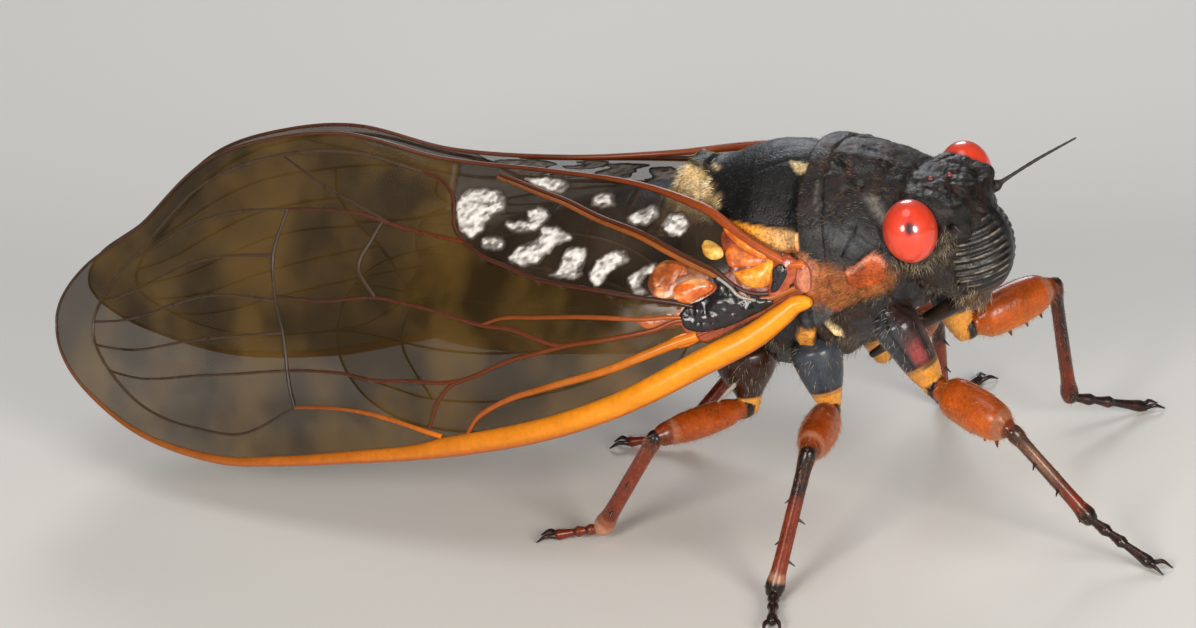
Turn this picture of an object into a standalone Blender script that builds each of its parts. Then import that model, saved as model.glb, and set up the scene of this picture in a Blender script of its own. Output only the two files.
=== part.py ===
"""Periodical cicada at rest, wings folded like a roof, as a still life-size model.

All driving dimensions are in millimetres in the body frame: +X runs forward along
the back, +Y to the animal's left, +Z up, and the origin lies at the tip of the face.
place() turns that frame onto the floor, where the six feet stand at one level.
"""
import math
import bpy
import bmesh
from mathutils import Vector
from mathutils.geometry import delaunay_2d_cdt

MM = 0.001
GAP = 0.3            # clear space between two nodes
PITCH = 6.1          # degrees that the body is raised at the head
FLOOR = -12.4        # height of the floor after the pitch, from the face tip
RING = 24            # points round a body section

# x, half width, top, bottom, height of the widest place
HEAD = [(-3.45, 2.9, 3.05, -1.9, .6), (-2.9, 3.0, 3.0, -2.15, .6),
        (-2.2, 2.75, 2.8, -2.3, .6), (-1.55, 2.3, 2.5, -2.2, .6),
        (-1.1, 1.75, 2.15, -1.7, .6), (-.85, 1.2, 1.7, -1.1, .5)]
THORAX = [(-3.75, 3.55, 3.3, -2.4, .4), (-4.6, 3.9, 3.75, -3.0, .3),
          (-5.5, 4.1, 4.1, -3.6, .2), (-6.5, 4.25, 4.35, -4.1, .2),
          (-7.3, 4.3, 4.5, -4.45, .2), (-7.6, 3.75, 4.45, -4.55, .2),
          (-8.6, 3.85, 4.55, -4.75, .2), (-9.8, 3.85, 4.45, -4.9, .2),
          (-11.0, 3.6, 4.2, -4.9, .1), (-12.4, 3.1, 3.75, -4.7, 0.),
          (-12.7, 2.9, 3.6, -4.6, 0.), (-13.4, 2.6, 3.4, -4.4, -.1),
          (-14.0, 2.4, 2.9, -4.2, -.2)]
ABDOMEN = [(-14.3, 3.3, 2.85, -3.9, -.5), (-16.0, 3.6, 2.9, -4.1, -.6),
           (-18.5, 3.6, 2.55, -4.1, -.7), (-21.5, 3.35, 2.0, -4.0, -.9),
           (-24.5, 2.65, 1.1, -3.7, -1.2), (-26.8, 1.6, 0., -3.2, -1.6),
           (-28.0, .7, -.95, -2.6, -1.75)]
SEGMENTS = [-14.3, -15.9, -17.7, -19.5, -21.3, -23.0, -24.6, -26.1, -28.0]
STEP_DOWN = .13      # each ring of the abdomen slips under the one before it
SPLIT = -.9          # height at which the back plates meet the underside
PRONOTUM = (-3.75, -7.3)
MESONOTUM = (-7.6, -12.4)
SCUTELLUM = (-12.7, -14.0)
CROSS = [(-13.25, 0., 3.45), (-12.95, -1.3, 3.0), (-12.95, 1.3, 3.0),
         (-13.75, -1.3, 2.6), (-13.75, 1.3, 2.6)]

EYE_AT, EYE_R = (-2.79, 3.0, 1.616), (1.08, 1.15, 1.29)
LEDGE, LEDGE_R = [(-2.95, 1.7, 2.25), (-1.45, 1.85, 1.75)], .62
FEELER_TIP = {"right": (.1, -4.6, 2.1), "left": (1.9, 3.9, 2.45)}
NOSE_AT, NOSE_R = (-1.75, 0., -.3), (1.75, 1.6, 2.1)
NOSE_RIDGES, RIDGE_DEEP = 9, .05
COLLAR = (-6.55, -6.7)      # groove in front of the pronotum's hind rim

# wing section: share of the length, then front edge y, z, hind edge y, z, camber
WING_ROOT, WING_LONG = -7.6, 37.1
WING = [(0., 4.5, -.95, 4.3, 1.35, .1), (.05, 5.25, -2.1, 3.95, 2.3, .3),
        (.095, 5.8, -2.7, 3.4, 3.1, .5), (.2, 6.85, -4.05, 1.65, 3.7, 1.5),
        (.315, 7.33, -5.0, .75, 4.14, 1.7), (.455, 7.4, -5.55, .48, 4.9, 1.),
        (.565, 6.98, -5.85, .46, 6.2, .7), (.665, 6.28, -6.2, .46, 6.22, .6),
        (.76, 5.53, -6.36, .46, 5.4, .5), (.875, 4.28, -5.62, .46, 2.55, .3),
        (.955, 3.15, -3.9, .76, 1.0, .1), (1., 1.65, -1.28, 1.65, -1.28, 0.)]
WING_THICK = .5
SHY = .22            # clear distance of a ridge's edge from the next vein
INNER_RIDGE = .35    # height of a ridge on the inner face, as a share

# veins as places (s, q) on the wing, then half width and height in mm
VEINS = [
    ([(.0, .4), (.04, .3), (.08, .25), (.115, .225), (.139, .22), (.162, .207),
      (.216, .18), (.301, .165), (.343, .15), (.383, .11), (.40, .06)], .30, .26),
    ([(.1, .3), (.132, .335), (.16, .307), (.214, .3), (.261, .303), (.295, .293),
      (.335, .28), (.38, .247), (.418, .22), (.437, .167), (.45, .09)], .26, .22),
    ([(.261, .303), (.279, .313), (.333, .387), (.373, .413), (.439, .473),
      (.48, .497), (.519, .505), (.587, .487), (.655, .513)], .24, .2),
    ([(.40, .235), (.43, .233), (.474, .247), (.521, .247), (.566, .267),
      (.613, .28), (.644, .285)], .22, .18),
    ([(.1, .3), (.132, .353), (.174, .367), (.251, .407), (.30, .42),
      (.345, .43), (.373, .413)], .24, .2),
    ([(.07, .3), (.105, .38), (.129, .427), (.174, .467), (.232, .513), (.298, .56),
      (.343, .615), (.38, .66), (.406, .71), (.423, .767), (.43, .86), (.45, .925),
      (.475, .94)], .28, .24),
    ([(.406, .71), (.439, .727), (.505, .747), (.545, .76), (.64, .775)], .24, .18),
    ([(.0, .5), (.03, .43), (.06, .5), (.085, .607), (.113, .667), (.139, .713),
      (.181, .773), (.235, .82), (.284, .88), (.322, .913), (.352, .94),
      (.38, .965)], .3, .26),
    ([(.434, .06), (.479, .107), (.523, .14), (.568, .16), (.637, .172)], .24, .2),
    ([(.637, .172), (.643, .24), (.648, .4), (.657, .5), (.66, .64),
      (.64, .775)], .24, .18),
    ([(.519, .505), (.542, .593), (.526, .687), (.515, .748)], .22, .16),
    ([(.475, .94), (.55, .945), (.65, .945), (.75, .93), (.83, .905), (.895, .84),
      (.93, .7), (.943, .55), (.94, .4), (.915, .25), (.87, .15), (.8, .11),
      (.72, .1), (.637, .172)], .24, .18),
    ([(.644, .285), (.73, .29), (.82, .29), (.92, .27)], .22, .16),
    ([(.648, .4), (.74, .41), (.84, .42), (.94, .4)], .22, .16),
    ([(.657, .5), (.75, .55), (.85, .57), (.943, .56)], .22, .16),
    ([(.66, .64), (.75, .67), (.84, .70), (.93, .7)], .22, .16),
    ([(.64, .775), (.73, .80), (.82, .83), (.88, .86)], .22, .16),
    ([(.505, .747), (.58, .82), (.65, .94)], .22, .16),
]
# thick front edge: places along it with the half width and height there
FRONT_VEIN = [(0., .34, .28), (.08, .5, .36), (.42, .45, .33), (.5, .32, .26),
              (.75, .25, .2), (.93, .2, .1)]
HINDWING = [(.13, .25), (.16, .12), (.24, .07), (.34, .07), (.45, .10), (.54, .18),
            (.585, .32), (.58, .48), (.53, .62), (.44, .72), (.34, .76), (.25, .75),
            (.18, .66), (.14, .5)]
HIND_VEINS = [([(.14, .36), (.22, .2), (.34, .17), (.46, .2), (.54, .27)], .24, .16),
              ([(.14, .36), (.24, .32), (.36, .33), (.5, .38), (.56, .4)], .24, .16),
              ([(.14, .36), (.24, .45), (.36, .5), (.48, .54), (.53, .55)], .24, .16),
              ([(.14, .36), (.22, .55), (.32, .63), (.42, .67)], .24, .16),
              ([(.46, .2), (.5, .38), (.48, .54)], .22, .14)]

# joints of the right legs: body, trochanter, knee, heel, claw tip
LEGS = {
    "fore_right": [(-4.7, -2.6, -2.0), (-3.6, -2.4, -5.35), (.14, -3.9, -6.85),
                   (2.4, -3.4, -11.0), (4.94, -4.05, -12.7)],
    "mid_right": [(-8.4, -2.5, -3.0), (-8.2, -2.7, -6.1), (-7.4, -7.0, -6.05),
                  (-9.2, -9.2, -11.3), (-8.4, -11.4, -11.8)],
    "hind_right": [(-11.6, -2.3, -3.0), (-11.9, -2.5, -5.9), (-14.2, -6.7, -5.3),
                   (-18.4, -5.4, -9.9), (-20.5, -5.7, -10.2)],
    "fore_left": [(-4.6, 2.5, -2.0), (-4.05, 2.1, -4.95), (-1.2, 5.6, -4.6),
                  (-2.45, 7.4, -10.5), (-.4, 9.9, -12.6)],
    "mid_left": [(-8.4, 2.5, -3.0), (-8.2, 2.7, -6.1), (-7.4, 7.0, -6.05),
                 (-9.2, 9.2, -11.3), (-8.4, 11.4, -11.8)],
    "hind_left": [(-11.6, 2.3, -3.0), (-11.9, 2.5, -5.9), (-13.9, 6.8, -5.4),
                  (-18.7, 3.5, -9.9), (-21.2, 3.2, -10.1)],
}
# radii: coxa, trochanter, thickest femur, knee, tibia, heel, foot
LEG_R = {"fore": (1.0, .62, .96, .46, .35, .36, .3),
         "mid": (1.3, .62, .85, .44, .36, .36, .29),
         "hind": (1.4, .6, .66, .44, .37, .36, .29)}

SPINES = [(.38, .75), (.58, .6), (.76, .45)]     # place along the femur, height
CLAW = .75

LOOKS = {"cuticle_black": ("#17130F", .3), "leg_orange": ("#C8531A", .35),
         "leg_dark": ("#5A2418", .35), "foot_dark": ("#2A1A14", .4),
         "eye_red": ("#E8432E", .12), "nose_black": ("#1D1714", .3),
         "underside": ("#3A3028", .55), "abdomen": ("#1C1612", .4),
         "wing": ("#C9A868", .2), "hindwing": ("#B8A888", .2),
         "feeler": ("#1A1512", .4)}


def linear(text):
    out = []
    for k in (1, 3, 5):
        c = int(text[k:k + 2], 16) / 255
        out.append(c / 12.92 if c <= .04045 else ((c + .055) / 1.055) ** 2.4)
    return (*out, 1)


def look(slot):
    if slot in bpy.data.materials:
        return bpy.data.materials[slot]
    colour, rough = LOOKS[slot]
    mat = bpy.data.materials.new(slot)
    mat.use_nodes = True
    bsdf = mat.node_tree.nodes["Principled BSDF"]
    bsdf.inputs["Base Color"].default_value = linear(colour)
    bsdf.inputs["Roughness"].default_value = rough
    return mat


def place(p):
    """Body frame in mm to the floor frame in metres."""
    a = math.radians(PITCH)
    x, y, z = p
    return Vector((x * math.cos(a) - z * math.sin(a), y,
                   x * math.sin(a) + z * math.cos(a) - FLOOR)) * MM


def new_object(name, slot, verts, faces, placed=False):
    mesh = bpy.data.meshes.new(name)
    mesh.from_pydata(verts if placed else [place(v) for v in verts], [], faces)
    bm = bmesh.new()
    bm.from_mesh(mesh)
    bmesh.ops.triangulate(bm, faces=bm.faces)
    bmesh.ops.recalc_face_normals(bm, faces=bm.faces)
    bm.to_mesh(mesh)
    bm.free()
    obj = bpy.data.objects.new(name, mesh)
    bpy.context.collection.objects.link(obj)
    if slot:
        mesh.materials.append(look(slot))
    return obj


def loft(rings):
    """Vertices and faces of a closed body through rings of equal count."""
    n = len(rings[0])
    verts = [p for ring in rings for p in ring]
    faces = [tuple(range(n)), tuple(range(len(verts) - n, len(verts)))]
    for k in range(len(rings) - 1):
        for i in range(n):
            j = (i + 1) % n
            faces.append((k * n + i, k * n + j, (k + 1) * n + j, (k + 1) * n + i))
    return verts, faces


def ease(rows, at, key=0):
    """Row of values at a place, eased with cubic pieces."""
    last = len(rows) - 1
    rise = rows[last][key] > rows[0][key]
    i = 0
    while i < last - 1 and (rows[i + 1][key] < at) == rise:
        i += 1
    a, b = rows[i], rows[i + 1]
    before, after = rows[max(i - 1, 0)], rows[min(i + 2, last)]
    h = b[key] - a[key]
    u = (at - a[key]) / h
    out = []
    for c in range(len(a)):
        m0 = (b[c] - before[c]) / (b[key] - before[key]) * h
        m1 = (after[c] - a[c]) / (after[key] - a[key]) * h
        out.append((2 * u ** 3 - 3 * u * u + 1) * a[c] + (u ** 3 - 2 * u * u + u) * m0
                   + (3 * u * u - 2 * u ** 3) * b[c] + (u ** 3 - u * u) * m1)
    return out


def section(row, grow=0., part="all"):
    """Ring of a body section: two half ellipses that meet at the widest place."""
    x, half, top, bottom, wide = row
    half, top, bottom = half + grow, top + grow, bottom - grow
    turn = {"all": (0., 2 * math.pi), "top": (0., 1.), "under": (1., 2.)}[part]
    ring = []
    if part == "all":
        angles = [2 * math.pi * k / RING for k in range(RING)]
    else:
        cut = SPLIT + GAP / 2 if part == "top" else SPLIT - GAP / 2
        start = math.asin(max(-1., min(1., (cut - wide) / (wide - bottom))))
        if part == "top":
            angles = [start + (math.pi - 2 * start) * k / (RING - 1)
                      for k in range(RING)]
        else:
            angles = [math.pi - start + (math.pi + 2 * start) * k / (RING - 1)
                      for k in range(RING)]
    for a in angles:
        high = top - wide if math.sin(a) > 0 else wide - bottom
        ring.append((x, half * math.cos(a), wide + high * math.sin(a)))
    return ring


def between(rows, x0, x1, steps):
    return [ease(rows, x0 + (x1 - x0) * k / steps) for k in range(steps + 1)]


def body(name, slot, rows, part="all", grow=0.):
    return new_object(name, slot, *loft([section(r, grow, part) for r in rows]))


def ball(name, slot, at, radii, grow=0., cols=20, rows=12):
    verts, faces = [], []
    for k in range(1, rows):
        v = math.pi * k / rows
        for i in range(cols):
            u = 2 * math.pi * i / cols
            verts.append((at[0] + (radii[0] + grow) * math.sin(v) * math.cos(u),
                          at[1] + (radii[1] + grow) * math.sin(v) * math.sin(u),
                          at[2] + (radii[2] + grow) * math.cos(v)))
    top = len(verts)
    verts.append((at[0], at[1], at[2] + radii[2] + grow))
    verts.append((at[0], at[1], at[2] - radii[2] - grow))
    for i in range(cols):
        j = (i + 1) % cols
        faces.append((top, i, j))
        faces.append((top + 1, (rows - 2) * cols + j, (rows - 2) * cols + i))
        for k in range(rows - 2):
            faces.append((k * cols + i, (k + 1) * cols + i, (k + 1) * cols + j,
                          k * cols + j))
    return new_object(name, slot, verts, faces)


def nose_of_ridges():
    """The swollen face: cross ridges on both sides of a smooth middle line."""
    rows, cols = NOSE_RIDGES * 4 + 2, 20
    obj = ball("clypeus", "nose_black", NOSE_AT, NOSE_R, 0., cols, rows)
    mid = place(NOSE_AT)
    for k, v in enumerate(obj.data.vertices[:(rows - 1) * cols]):
        row, col = divmod(k, cols)
        side = abs(math.sin(2 * math.pi * col / cols))
        front = math.cos(2 * math.pi * col / cols)
        fade = max(0., math.sin(math.pi * (row + 1) / rows)) * min(1., side * 3)
        if front > -.3 and row % 4 in (0, 1):
            v.co = mid + (v.co - mid) * (1 - RIDGE_DEEP * fade)
    obj.data.update()


def carve(obj, *cutters):
    """Take the cutters out of the object and keep its largest closed surface."""
    for cutter in cutters:
        mod = obj.modifiers.new("cut", "BOOLEAN")
        mod.operation, mod.solver, mod.object = "DIFFERENCE", "MANIFOLD", cutter
    settle(obj)


def fuse(obj, pieces):
    """Join closed pieces to the object by one union."""
    group = bpy.data.collections.new("pieces")
    for piece in pieces:
        group.objects.link(piece)
    mod = obj.modifiers.new("join", "BOOLEAN")
    mod.operation, mod.solver, mod.operand_type = "UNION", "MANIFOLD", "COLLECTION"
    mod.collection = group
    settle(obj)
    for piece in pieces:
        bpy.data.objects.remove(piece)
    bpy.data.collections.remove(group)


def stalk(name, a, b, ra, rb, placed=False, count=7):
    """Tapered rod between two places of the body frame, or of the floor frame."""
    a, b = [Vector(p) if placed else place(p) / MM for p in (a, b)]
    return tube(name, None, [a, a.lerp(b, .5), b], [ra, (ra + rb) / 2, rb], count=count)


def settle(obj):
    deps = bpy.context.evaluated_depsgraph_get()
    mesh = bpy.data.meshes.new_from_object(obj.evaluated_get(deps))
    obj.modifiers.clear()
    bm = bmesh.new()
    bm.from_mesh(mesh)
    bmesh.ops.remove_doubles(bm, verts=bm.verts, dist=2e-6)
    bmesh.ops.triangulate(bm, faces=bm.faces)
    left, groups = set(bm.verts), []
    while left:
        stack, group = [left.pop()], []
        while stack:
            v = stack.pop()
            group.append(v)
            for e in v.link_edges:
                w = e.other_vert(v)
                if w in left:
                    left.discard(w)
                    stack.append(w)
        groups.append(group)
    groups.sort(key=len)
    for group in groups[:-1]:
        bmesh.ops.delete(bm, geom=group, context="VERTS")
    bm.to_mesh(mesh)
    bm.free()
    obj.data = mesh


def frame_of(direction):
    d = direction.normalized()
    side = d.cross(Vector((0, 0, 1)))
    if side.length < .2:
        side = d.cross(Vector((0, 1, 0)))
    side.normalize()
    return d, side, side.cross(d)


def tube(name, slot, points, radii, cuts=(None, None), count=10, sole=False):
    """Tube in the floor frame (mm) through the points; cuts are the end planes."""
    pts = [Vector(p) for p in points]
    rings, side = [], None
    for k, p in enumerate(pts):
        a = pts[max(k - 1, 0)]
        b = pts[min(k + 1, len(pts) - 1)]
        d, new_side, up = frame_of(b - a)
        if side is not None:
            new_side = side - d * side.dot(d)
            new_side.normalize()
            up = new_side.cross(d)
        side = new_side
        ring = []
        for i in range(count):
            t = 2 * math.pi * i / count
            q = p + (side * math.cos(t) + up * math.sin(t)) * radii[k]
            cut = cuts[0] if k == 0 else cuts[1] if k == len(pts) - 1 else None
            if cut:
                at, normal = cut
                along = (pts[1] - pts[0]) if k == 0 else (pts[-1] - pts[-2])
                along.normalize()
                q = q + along * ((at - q).dot(normal) / along.dot(normal))
            if sole and q.z < 0:
                q.z = 0.
            ring.append(tuple(q * MM))
        rings.append(ring)
    verts, faces = loft(rings)
    return new_object(name, slot, verts, faces, placed=True)


def leg(name, joints, radii, big):
    """Femur with coxa, tibia and tarsus, cut at the joints by a common plane."""
    kind = name.split("_")[0]
    side = name.split("_")[1]
    coxa, troch, thick, knee_r, shin, heel_r, foot = radii
    hip, tro, knee, heel, claw = [place(j) / MM for j in joints]
    claw.z = .22
    heel.z = max(heel.z, foot * .9)
    gap = GAP / 2
    d1, d2, d3 = [(b - a).normalized() for a, b in
                  ((tro, knee), (knee, heel), (heel, claw))]
    at_knee, at_heel = (d1 + d2).normalized(), (d2 + d3).normalized()
    thigh = [hip, hip.lerp(tro, .13), hip.lerp(tro, .5), tro.lerp(hip, .12)] + \
        [tro.lerp(knee, u) for u in (.05, .18, .4, .65, .85, 1.)]
    thigh_r = [coxa * .6, coxa, coxa * .9, troch * 1.1, troch * 1.1, thick * .8, thick, thick * .9,
               thick * .65, knee_r]
    obj = tube("femur_" + name, "leg_orange", thigh, thigh_r,
               (None, (knee - at_knee * gap, at_knee)), 12)
    carve(obj, big)
    if kind == "fore":
        spines = []
        for share, tall in SPINES:
            at = tro.lerp(knee, share)
            down = Vector((0, 0, -1)) + d1 * .5
            down = (down - d1 * down.dot(d1) * .6).normalized()
            spines.append(stalk("spine", at + down * thick * .55,
                                at + down * (thick * .9 + tall), .26, .05, True, 6))
        fuse(obj, spines)
    tube("tibia_" + name, "leg_dark",
         [knee.lerp(heel, u) for u in (0., .12, .5, .85, 1.)],
         [knee_r, shin * 1.1, shin, shin, heel_r],
         ((knee + at_knee * gap, at_knee), (heel - at_heel * gap, at_heel)), 10)
    toe = tube("tarsus_" + name, "foot_dark",
         [heel.lerp(claw, u) for u in (0., .3, .6, .85, 1.)],
         [heel_r, foot, foot, foot, foot * .75],
         ((heel + at_heel * gap, at_heel), None), 10, sole=True)
    ahead = Vector((d3.x, d3.y, 0)).normalized()
    across = Vector((-ahead.y, ahead.x, 0))
    claws = []
    for hand in (-1, 1):
        a = claw + across * hand * .08 - ahead * .2
        b = claw + ahead * CLAW + across * hand * .32
        a.z, b.z = .2, .07
        claws.append(stalk("claw", a, b, .13, .05, True, 6))
    fuse(toe, claws)
    return kind, side


def wing_point(s, q, side, lift=0.):
    """Point of the folded wing: s along it, q from the front to the hind edge."""
    rows = [(math.asin(r[0]) * 2 / math.pi, *r[1:]) for r in WING]
    _, yc, zc, yh, zh, camber = ease(rows, math.asin(min(s, 1.)) * 2 / math.pi)
    dy, dz = yh - yc, zh - zc
    long = max(math.hypot(dy, dz), 1e-6)
    ny, nz = abs(dz) / long, abs(dy) / long
    bend = camber * 4 * q * (1 - q) + lift
    return Vector((WING_ROOT - WING_LONG * s, side * (yc + dy * q + ny * bend),
                   zc + dz * q + nz * bend))


def wing_width(s):
    rows = [(math.asin(r[0]) * 2 / math.pi, *r[1:]) for r in WING]
    _, yc, zc, yh, zh, camber = ease(rows, math.asin(min(s, 1.)) * 2 / math.pi)
    chord = max(math.hypot(yh - yc, zh - zc), .02)
    return chord + 2.67 * camber * camber / chord


def flat(s, q):
    """Place on the wing as a point of its flat plan, in mm."""
    return Vector((WING_LONG * s, (q - .5) * wing_width(s)))


def bent(p):
    s = min(max(p.x / WING_LONG, 0.), .9995)
    return s, min(max(p.y / wing_width(s) + .5, 0.), 1.)


def smooth_path(points, step):
    """Points on an eased curve through the given ones, about a step apart."""
    out = []
    for k in range(len(points) - 1):
        a, b = points[k], points[k + 1]
        m0 = (b - points[k - 1]) / 2 if k else b - a
        m1 = (points[k + 2] - a) / 2 if k + 2 < len(points) else b - a
        n = max(1, round((b - a).length / step))
        for i in range(n):
            u = i / n
            out.append(a * (2 * u ** 3 - 3 * u * u + 1) + m0 * (u ** 3 - 2 * u * u + u)
                       + b * (3 * u * u - 2 * u ** 3) + m1 * (u ** 3 - u * u))
    out.append(points[-1])
    return out


def away(p, path):
    """Distance from a flat point to a path."""
    best = 1e9
    for a, b in zip(path, path[1:]):
        d = b - a
        t = min(max((p - a).dot(d) / max(d.length_squared, 1e-9), 0.), 1.)
        best = min(best, (p - a - d * t).length)
    return best


def inside(p, loop):
    hit = False
    for a, b in zip(loop, loop[1:] + loop[:1]):
        if (a.y > p.y) != (b.y > p.y) and \
                p.x < (b.x - a.x) * (p.y - a.y) / (b.y - a.y) + a.x:
            hit = not hit
    return hit


def vane(name, slot, side, loop, veins, inset=0., step=1.0, fill=2.6):
    """Wing of one thickness whose veins are ridges in the membrane's surface."""
    points, edges, n = list(loop), [], len(loop)
    edges += [(i, (i + 1) % n) for i in range(n)]
    rim = list(loop) + [loop[0]]
    strips = [(path if isinstance(wide, list) else smooth_path(path, step),
               wide, high, hands) for path, wide, high, hands in veins]
    for me, (path, wide, high, hands) in enumerate(strips):
        for hand in (0,) + hands:
            last = None
            for k, p in enumerate(path):
                d = path[min(k + 1, len(path) - 1)] - path[max(k - 1, 0)]
                w = wide[k] if isinstance(wide, list) else wide
                q = p + Vector((-d.y, d.x)).normalized() * w * hand
                keep = inside(q, loop) and away(q, rim) > .12
                if hand:
                    keep = keep and all(away(q, o[0]) > SHY for i, o in
                                        enumerate(strips) if i != me)
                elif keep:
                    near = [i for i in range(n, len(points))
                            if (points[i] - q).length < SHY]
                    if near:
                        if last is not None and last != near[0]:
                            edges.append((last, near[0]))
                        last = near[0]
                        continue
                if not keep:
                    last = None
                    continue
                if hand and any((o - q).length < w * .8 for o in points[n:]):
                    last = None
                    continue
                points.append(q)
                if last is not None:
                    edges.append((last, len(points) - 1))
                last = len(points) - 1
    low = [min(p[i] for p in loop) for i in (0, 1)]
    high = [max(p[i] for p in loop) for i in (0, 1)]
    rows = int((high[1] - low[1]) / (fill * .87)) + 1
    cols = int((high[0] - low[0]) / fill) + 1
    for j in range(rows):
        for i in range(cols):
            p = Vector((low[0] + fill * (i + .5 * (j % 2)), low[1] + fill * .87 * j))
            if inside(p, loop) and away(p, rim) > .8 and \
                    all(away(p, o[0]) > .85 for o in strips):
                points.append(p)
    flat_verts, _, tris, *_ = delaunay_2d_cdt(points, edges, [list(range(n))], 1, .02)
    heights = []
    for p in flat_verts:
        h = 0.
        for path, wide, top, hands in strips:
            w = wide[0] if isinstance(wide, list) else wide
            if isinstance(wide, list):
                k = min(range(len(path)), key=lambda i: (path[i] - p).length)
                w, top = wide[k], top[k]
            h = max(h, top * max(0., 1 - away(p, path) / w))
        heights.append(h)
    sheet(name, slot, side, [bent(p) for p in flat_verts], heights,
          [tuple(t) for t in tris], inset)


def sheet(name, slot, side, places, heights, tris, inset):
    """Both faces of a wing with the same triangles, closed round the rim."""
    verts = []
    for face in (-1, 1):
        for (s, q), h in zip(places, heights):
            lift = WING_THICK / 2 + h * (1. if face > 0 else INNER_RIDGE)
            p = wing_point(s, q, side)
            a = wing_point(s + .002, q, side) - wing_point(max(s - .002, 0), q, side)
            b = wing_point(s, min(q + .02, 1), side) - wing_point(s, max(q - .02, 0), side)
            out = a.cross(b).normalized()
            if out.y * side < 0:
                out = -out
            verts.append(p + out * (face * lift - inset))
    m = len(places)
    used, faces = {}, []
    for t in tris:
        if len(t) != 3:
            continue
        faces += [t, tuple(m + v for v in reversed(t))]
        for e in zip(t, t[1:] + t[:1]):
            used[e] = used.get(e, 0) + 1
    for a, b in used:
        if (b, a) not in used:
            faces.append((a, b, m + b, m + a))
    return new_object(name, slot, verts, faces)


def forewing(name, side):
    cols = 34
    front = [flat(math.sin(math.pi / 2 * i / cols), 0.) for i in range(cols)]
    back = [flat(math.sin(math.pi / 2 * i / cols), 1.) for i in range(cols)]
    tip = flat(.9995, .5)
    loop = front + [tip] + back[::-1]
    veins = [([flat(*p) for p in path], wide, high, (-1, 1))
             for path, wide, high in VEINS]
    edge, widths, tops = [], [], []
    for i in range(31):
        s = FRONT_VEIN[-1][0] * i / 30
        _, wide, high = ease(FRONT_VEIN, s)
        a, b = flat(s, 0.), flat(s + .005, 0.)
        edge.append(a + Vector((a.y - b.y, b.x - a.x)).normalized() * wide)
        widths.append(wide)
        tops.append(high)
    veins.insert(0, (edge, widths, tops, (1,)))
    vane(name, "wing", side, loop, veins)


def hindwing(name, side):
    loop = smooth_path([flat(*p) for p in HINDWING + HINDWING[:1]], 1.3)[:-1]
    veins = [([flat(*p) for p in path], wide, high, (-1, 1))
             for path, wide, high in HIND_VEINS]
    vane(name, "hindwing", side, loop, veins, WING_THICK + GAP + .25, 1.5, 2.6)


def build():
    for obj in list(bpy.data.objects):
        bpy.data.objects.remove(obj)
    eyes = [ball("cut_eye", None, (EYE_AT[0], s * EYE_AT[1], EYE_AT[2]), EYE_R,
                 GAP * .8) for s in (-1, 1)]
    nose = ball("cut_nose", None, NOSE_AT, NOSE_R, GAP * .8)
    whole_head = body("cut_head", None, HEAD, "all", GAP * .8)
    head = body("head", "cuticle_black", HEAD)
    ledges, cuts = [], []
    for s in (-1, 1):
        a, b = [(x, s * y, z) for x, y, z in LEDGE]
        ledges.append(stalk("ledge", a, b, LEDGE_R, LEDGE_R, count=12))
        cuts.append(stalk("cut_ledge", a, b, LEDGE_R + GAP, LEDGE_R + GAP, count=12))
    fuse(head, ledges)
    carve(head, *eyes, nose)
    for side, word in ((-1, "right"), (1, "left")):
        ball("eye_" + word, "eye_red", (EYE_AT[0], side * EYE_AT[1], EYE_AT[2]), EYE_R)
        root = Vector((-1.6, side * 1.6, 1.15))
        tip = Vector(FEELER_TIP[word])
        feeler = tube("antenna_" + word, "feeler",
                      [place(root.lerp(tip, u)) / MM for u in (.0, .25, .36, .6, 1.)],
                      [.34, .34, .25, .2, .08], count=8)
        carve(feeler, whole_head, nose, *cuts)
    nose_of_ridges()
    shield = between(THORAX, PRONOTUM[0], COLLAR[0], 6)
    rim = between(THORAX, COLLAR[1], PRONOTUM[1], 2)
    rings = [section(r, 0., "top") for r in shield]
    rings.append(section(ease(THORAX, sum(COLLAR) / 2), -.14, "top"))
    rings += [section(r, g, "top") for r, g in zip(rim, (.04, .08, 0.))]
    carve(new_object("pronotum", "cuticle_black", *loft(rings)), *eyes)
    body("mesonotum", "cuticle_black", between(THORAX, *MESONOTUM, 9), "top")
    plate = body("scutellum", "cuticle_black", between(THORAX, *SCUTELLUM, 3), "top")
    cross = [stalk("cross", CROSS[0], arm, .42, .24) for arm in CROSS[1:]]
    cross.append(ball("knob", None, CROSS[0], (.42, .5, .42), 0., 12, 8))
    fuse(plate, cross)
    under = between(THORAX, PRONOTUM[0], SCUTELLUM[1], 14)
    under = [(x, min(h, 3.9), t, b, w) for x, h, t, b, w in under]
    body("sternum", "underside", under, "under")
    big = [(under[0][0] + .3, *under[0][1:])] + under + \
        [(under[-1][0] - .3, *under[-1][1:])]
    big = body("cut_under", None, big, "all", GAP * .85)
    rings = []
    for a, b in zip(SEGMENTS, SEGMENTS[1:]):
        for share, sunk in ((.02, STEP_DOWN), (.22, 0.), (.98, .01)):
            rings.append(section(ease(ABDOMEN, a + (b - a) * share), -sunk))
    new_object("abdomen", "abdomen", *loft(rings))
    beak = [(-2.5, 0, -2.7), (-3.3, 0, -3.), (-4.4, 0, -3.5), (-7.2, 0, -4.95)]
    tube("rostrum", "nose_black", [place(p) / MM for p in beak],
         [.36, .36, .33, .25], count=8)
    for name, joints in LEGS.items():
        leg(name, joints, LEG_R[name.split("_")[0]], big)
    for side, word in ((-1, "right"), (1, "left")):
        forewing("forewing_" + word, side)
        hindwing("hindwing_" + word, side)
    for obj in list(bpy.data.objects):
        if obj.name.startswith("cut_"):
            bpy.data.objects.remove(obj)
    settle_frame()


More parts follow.
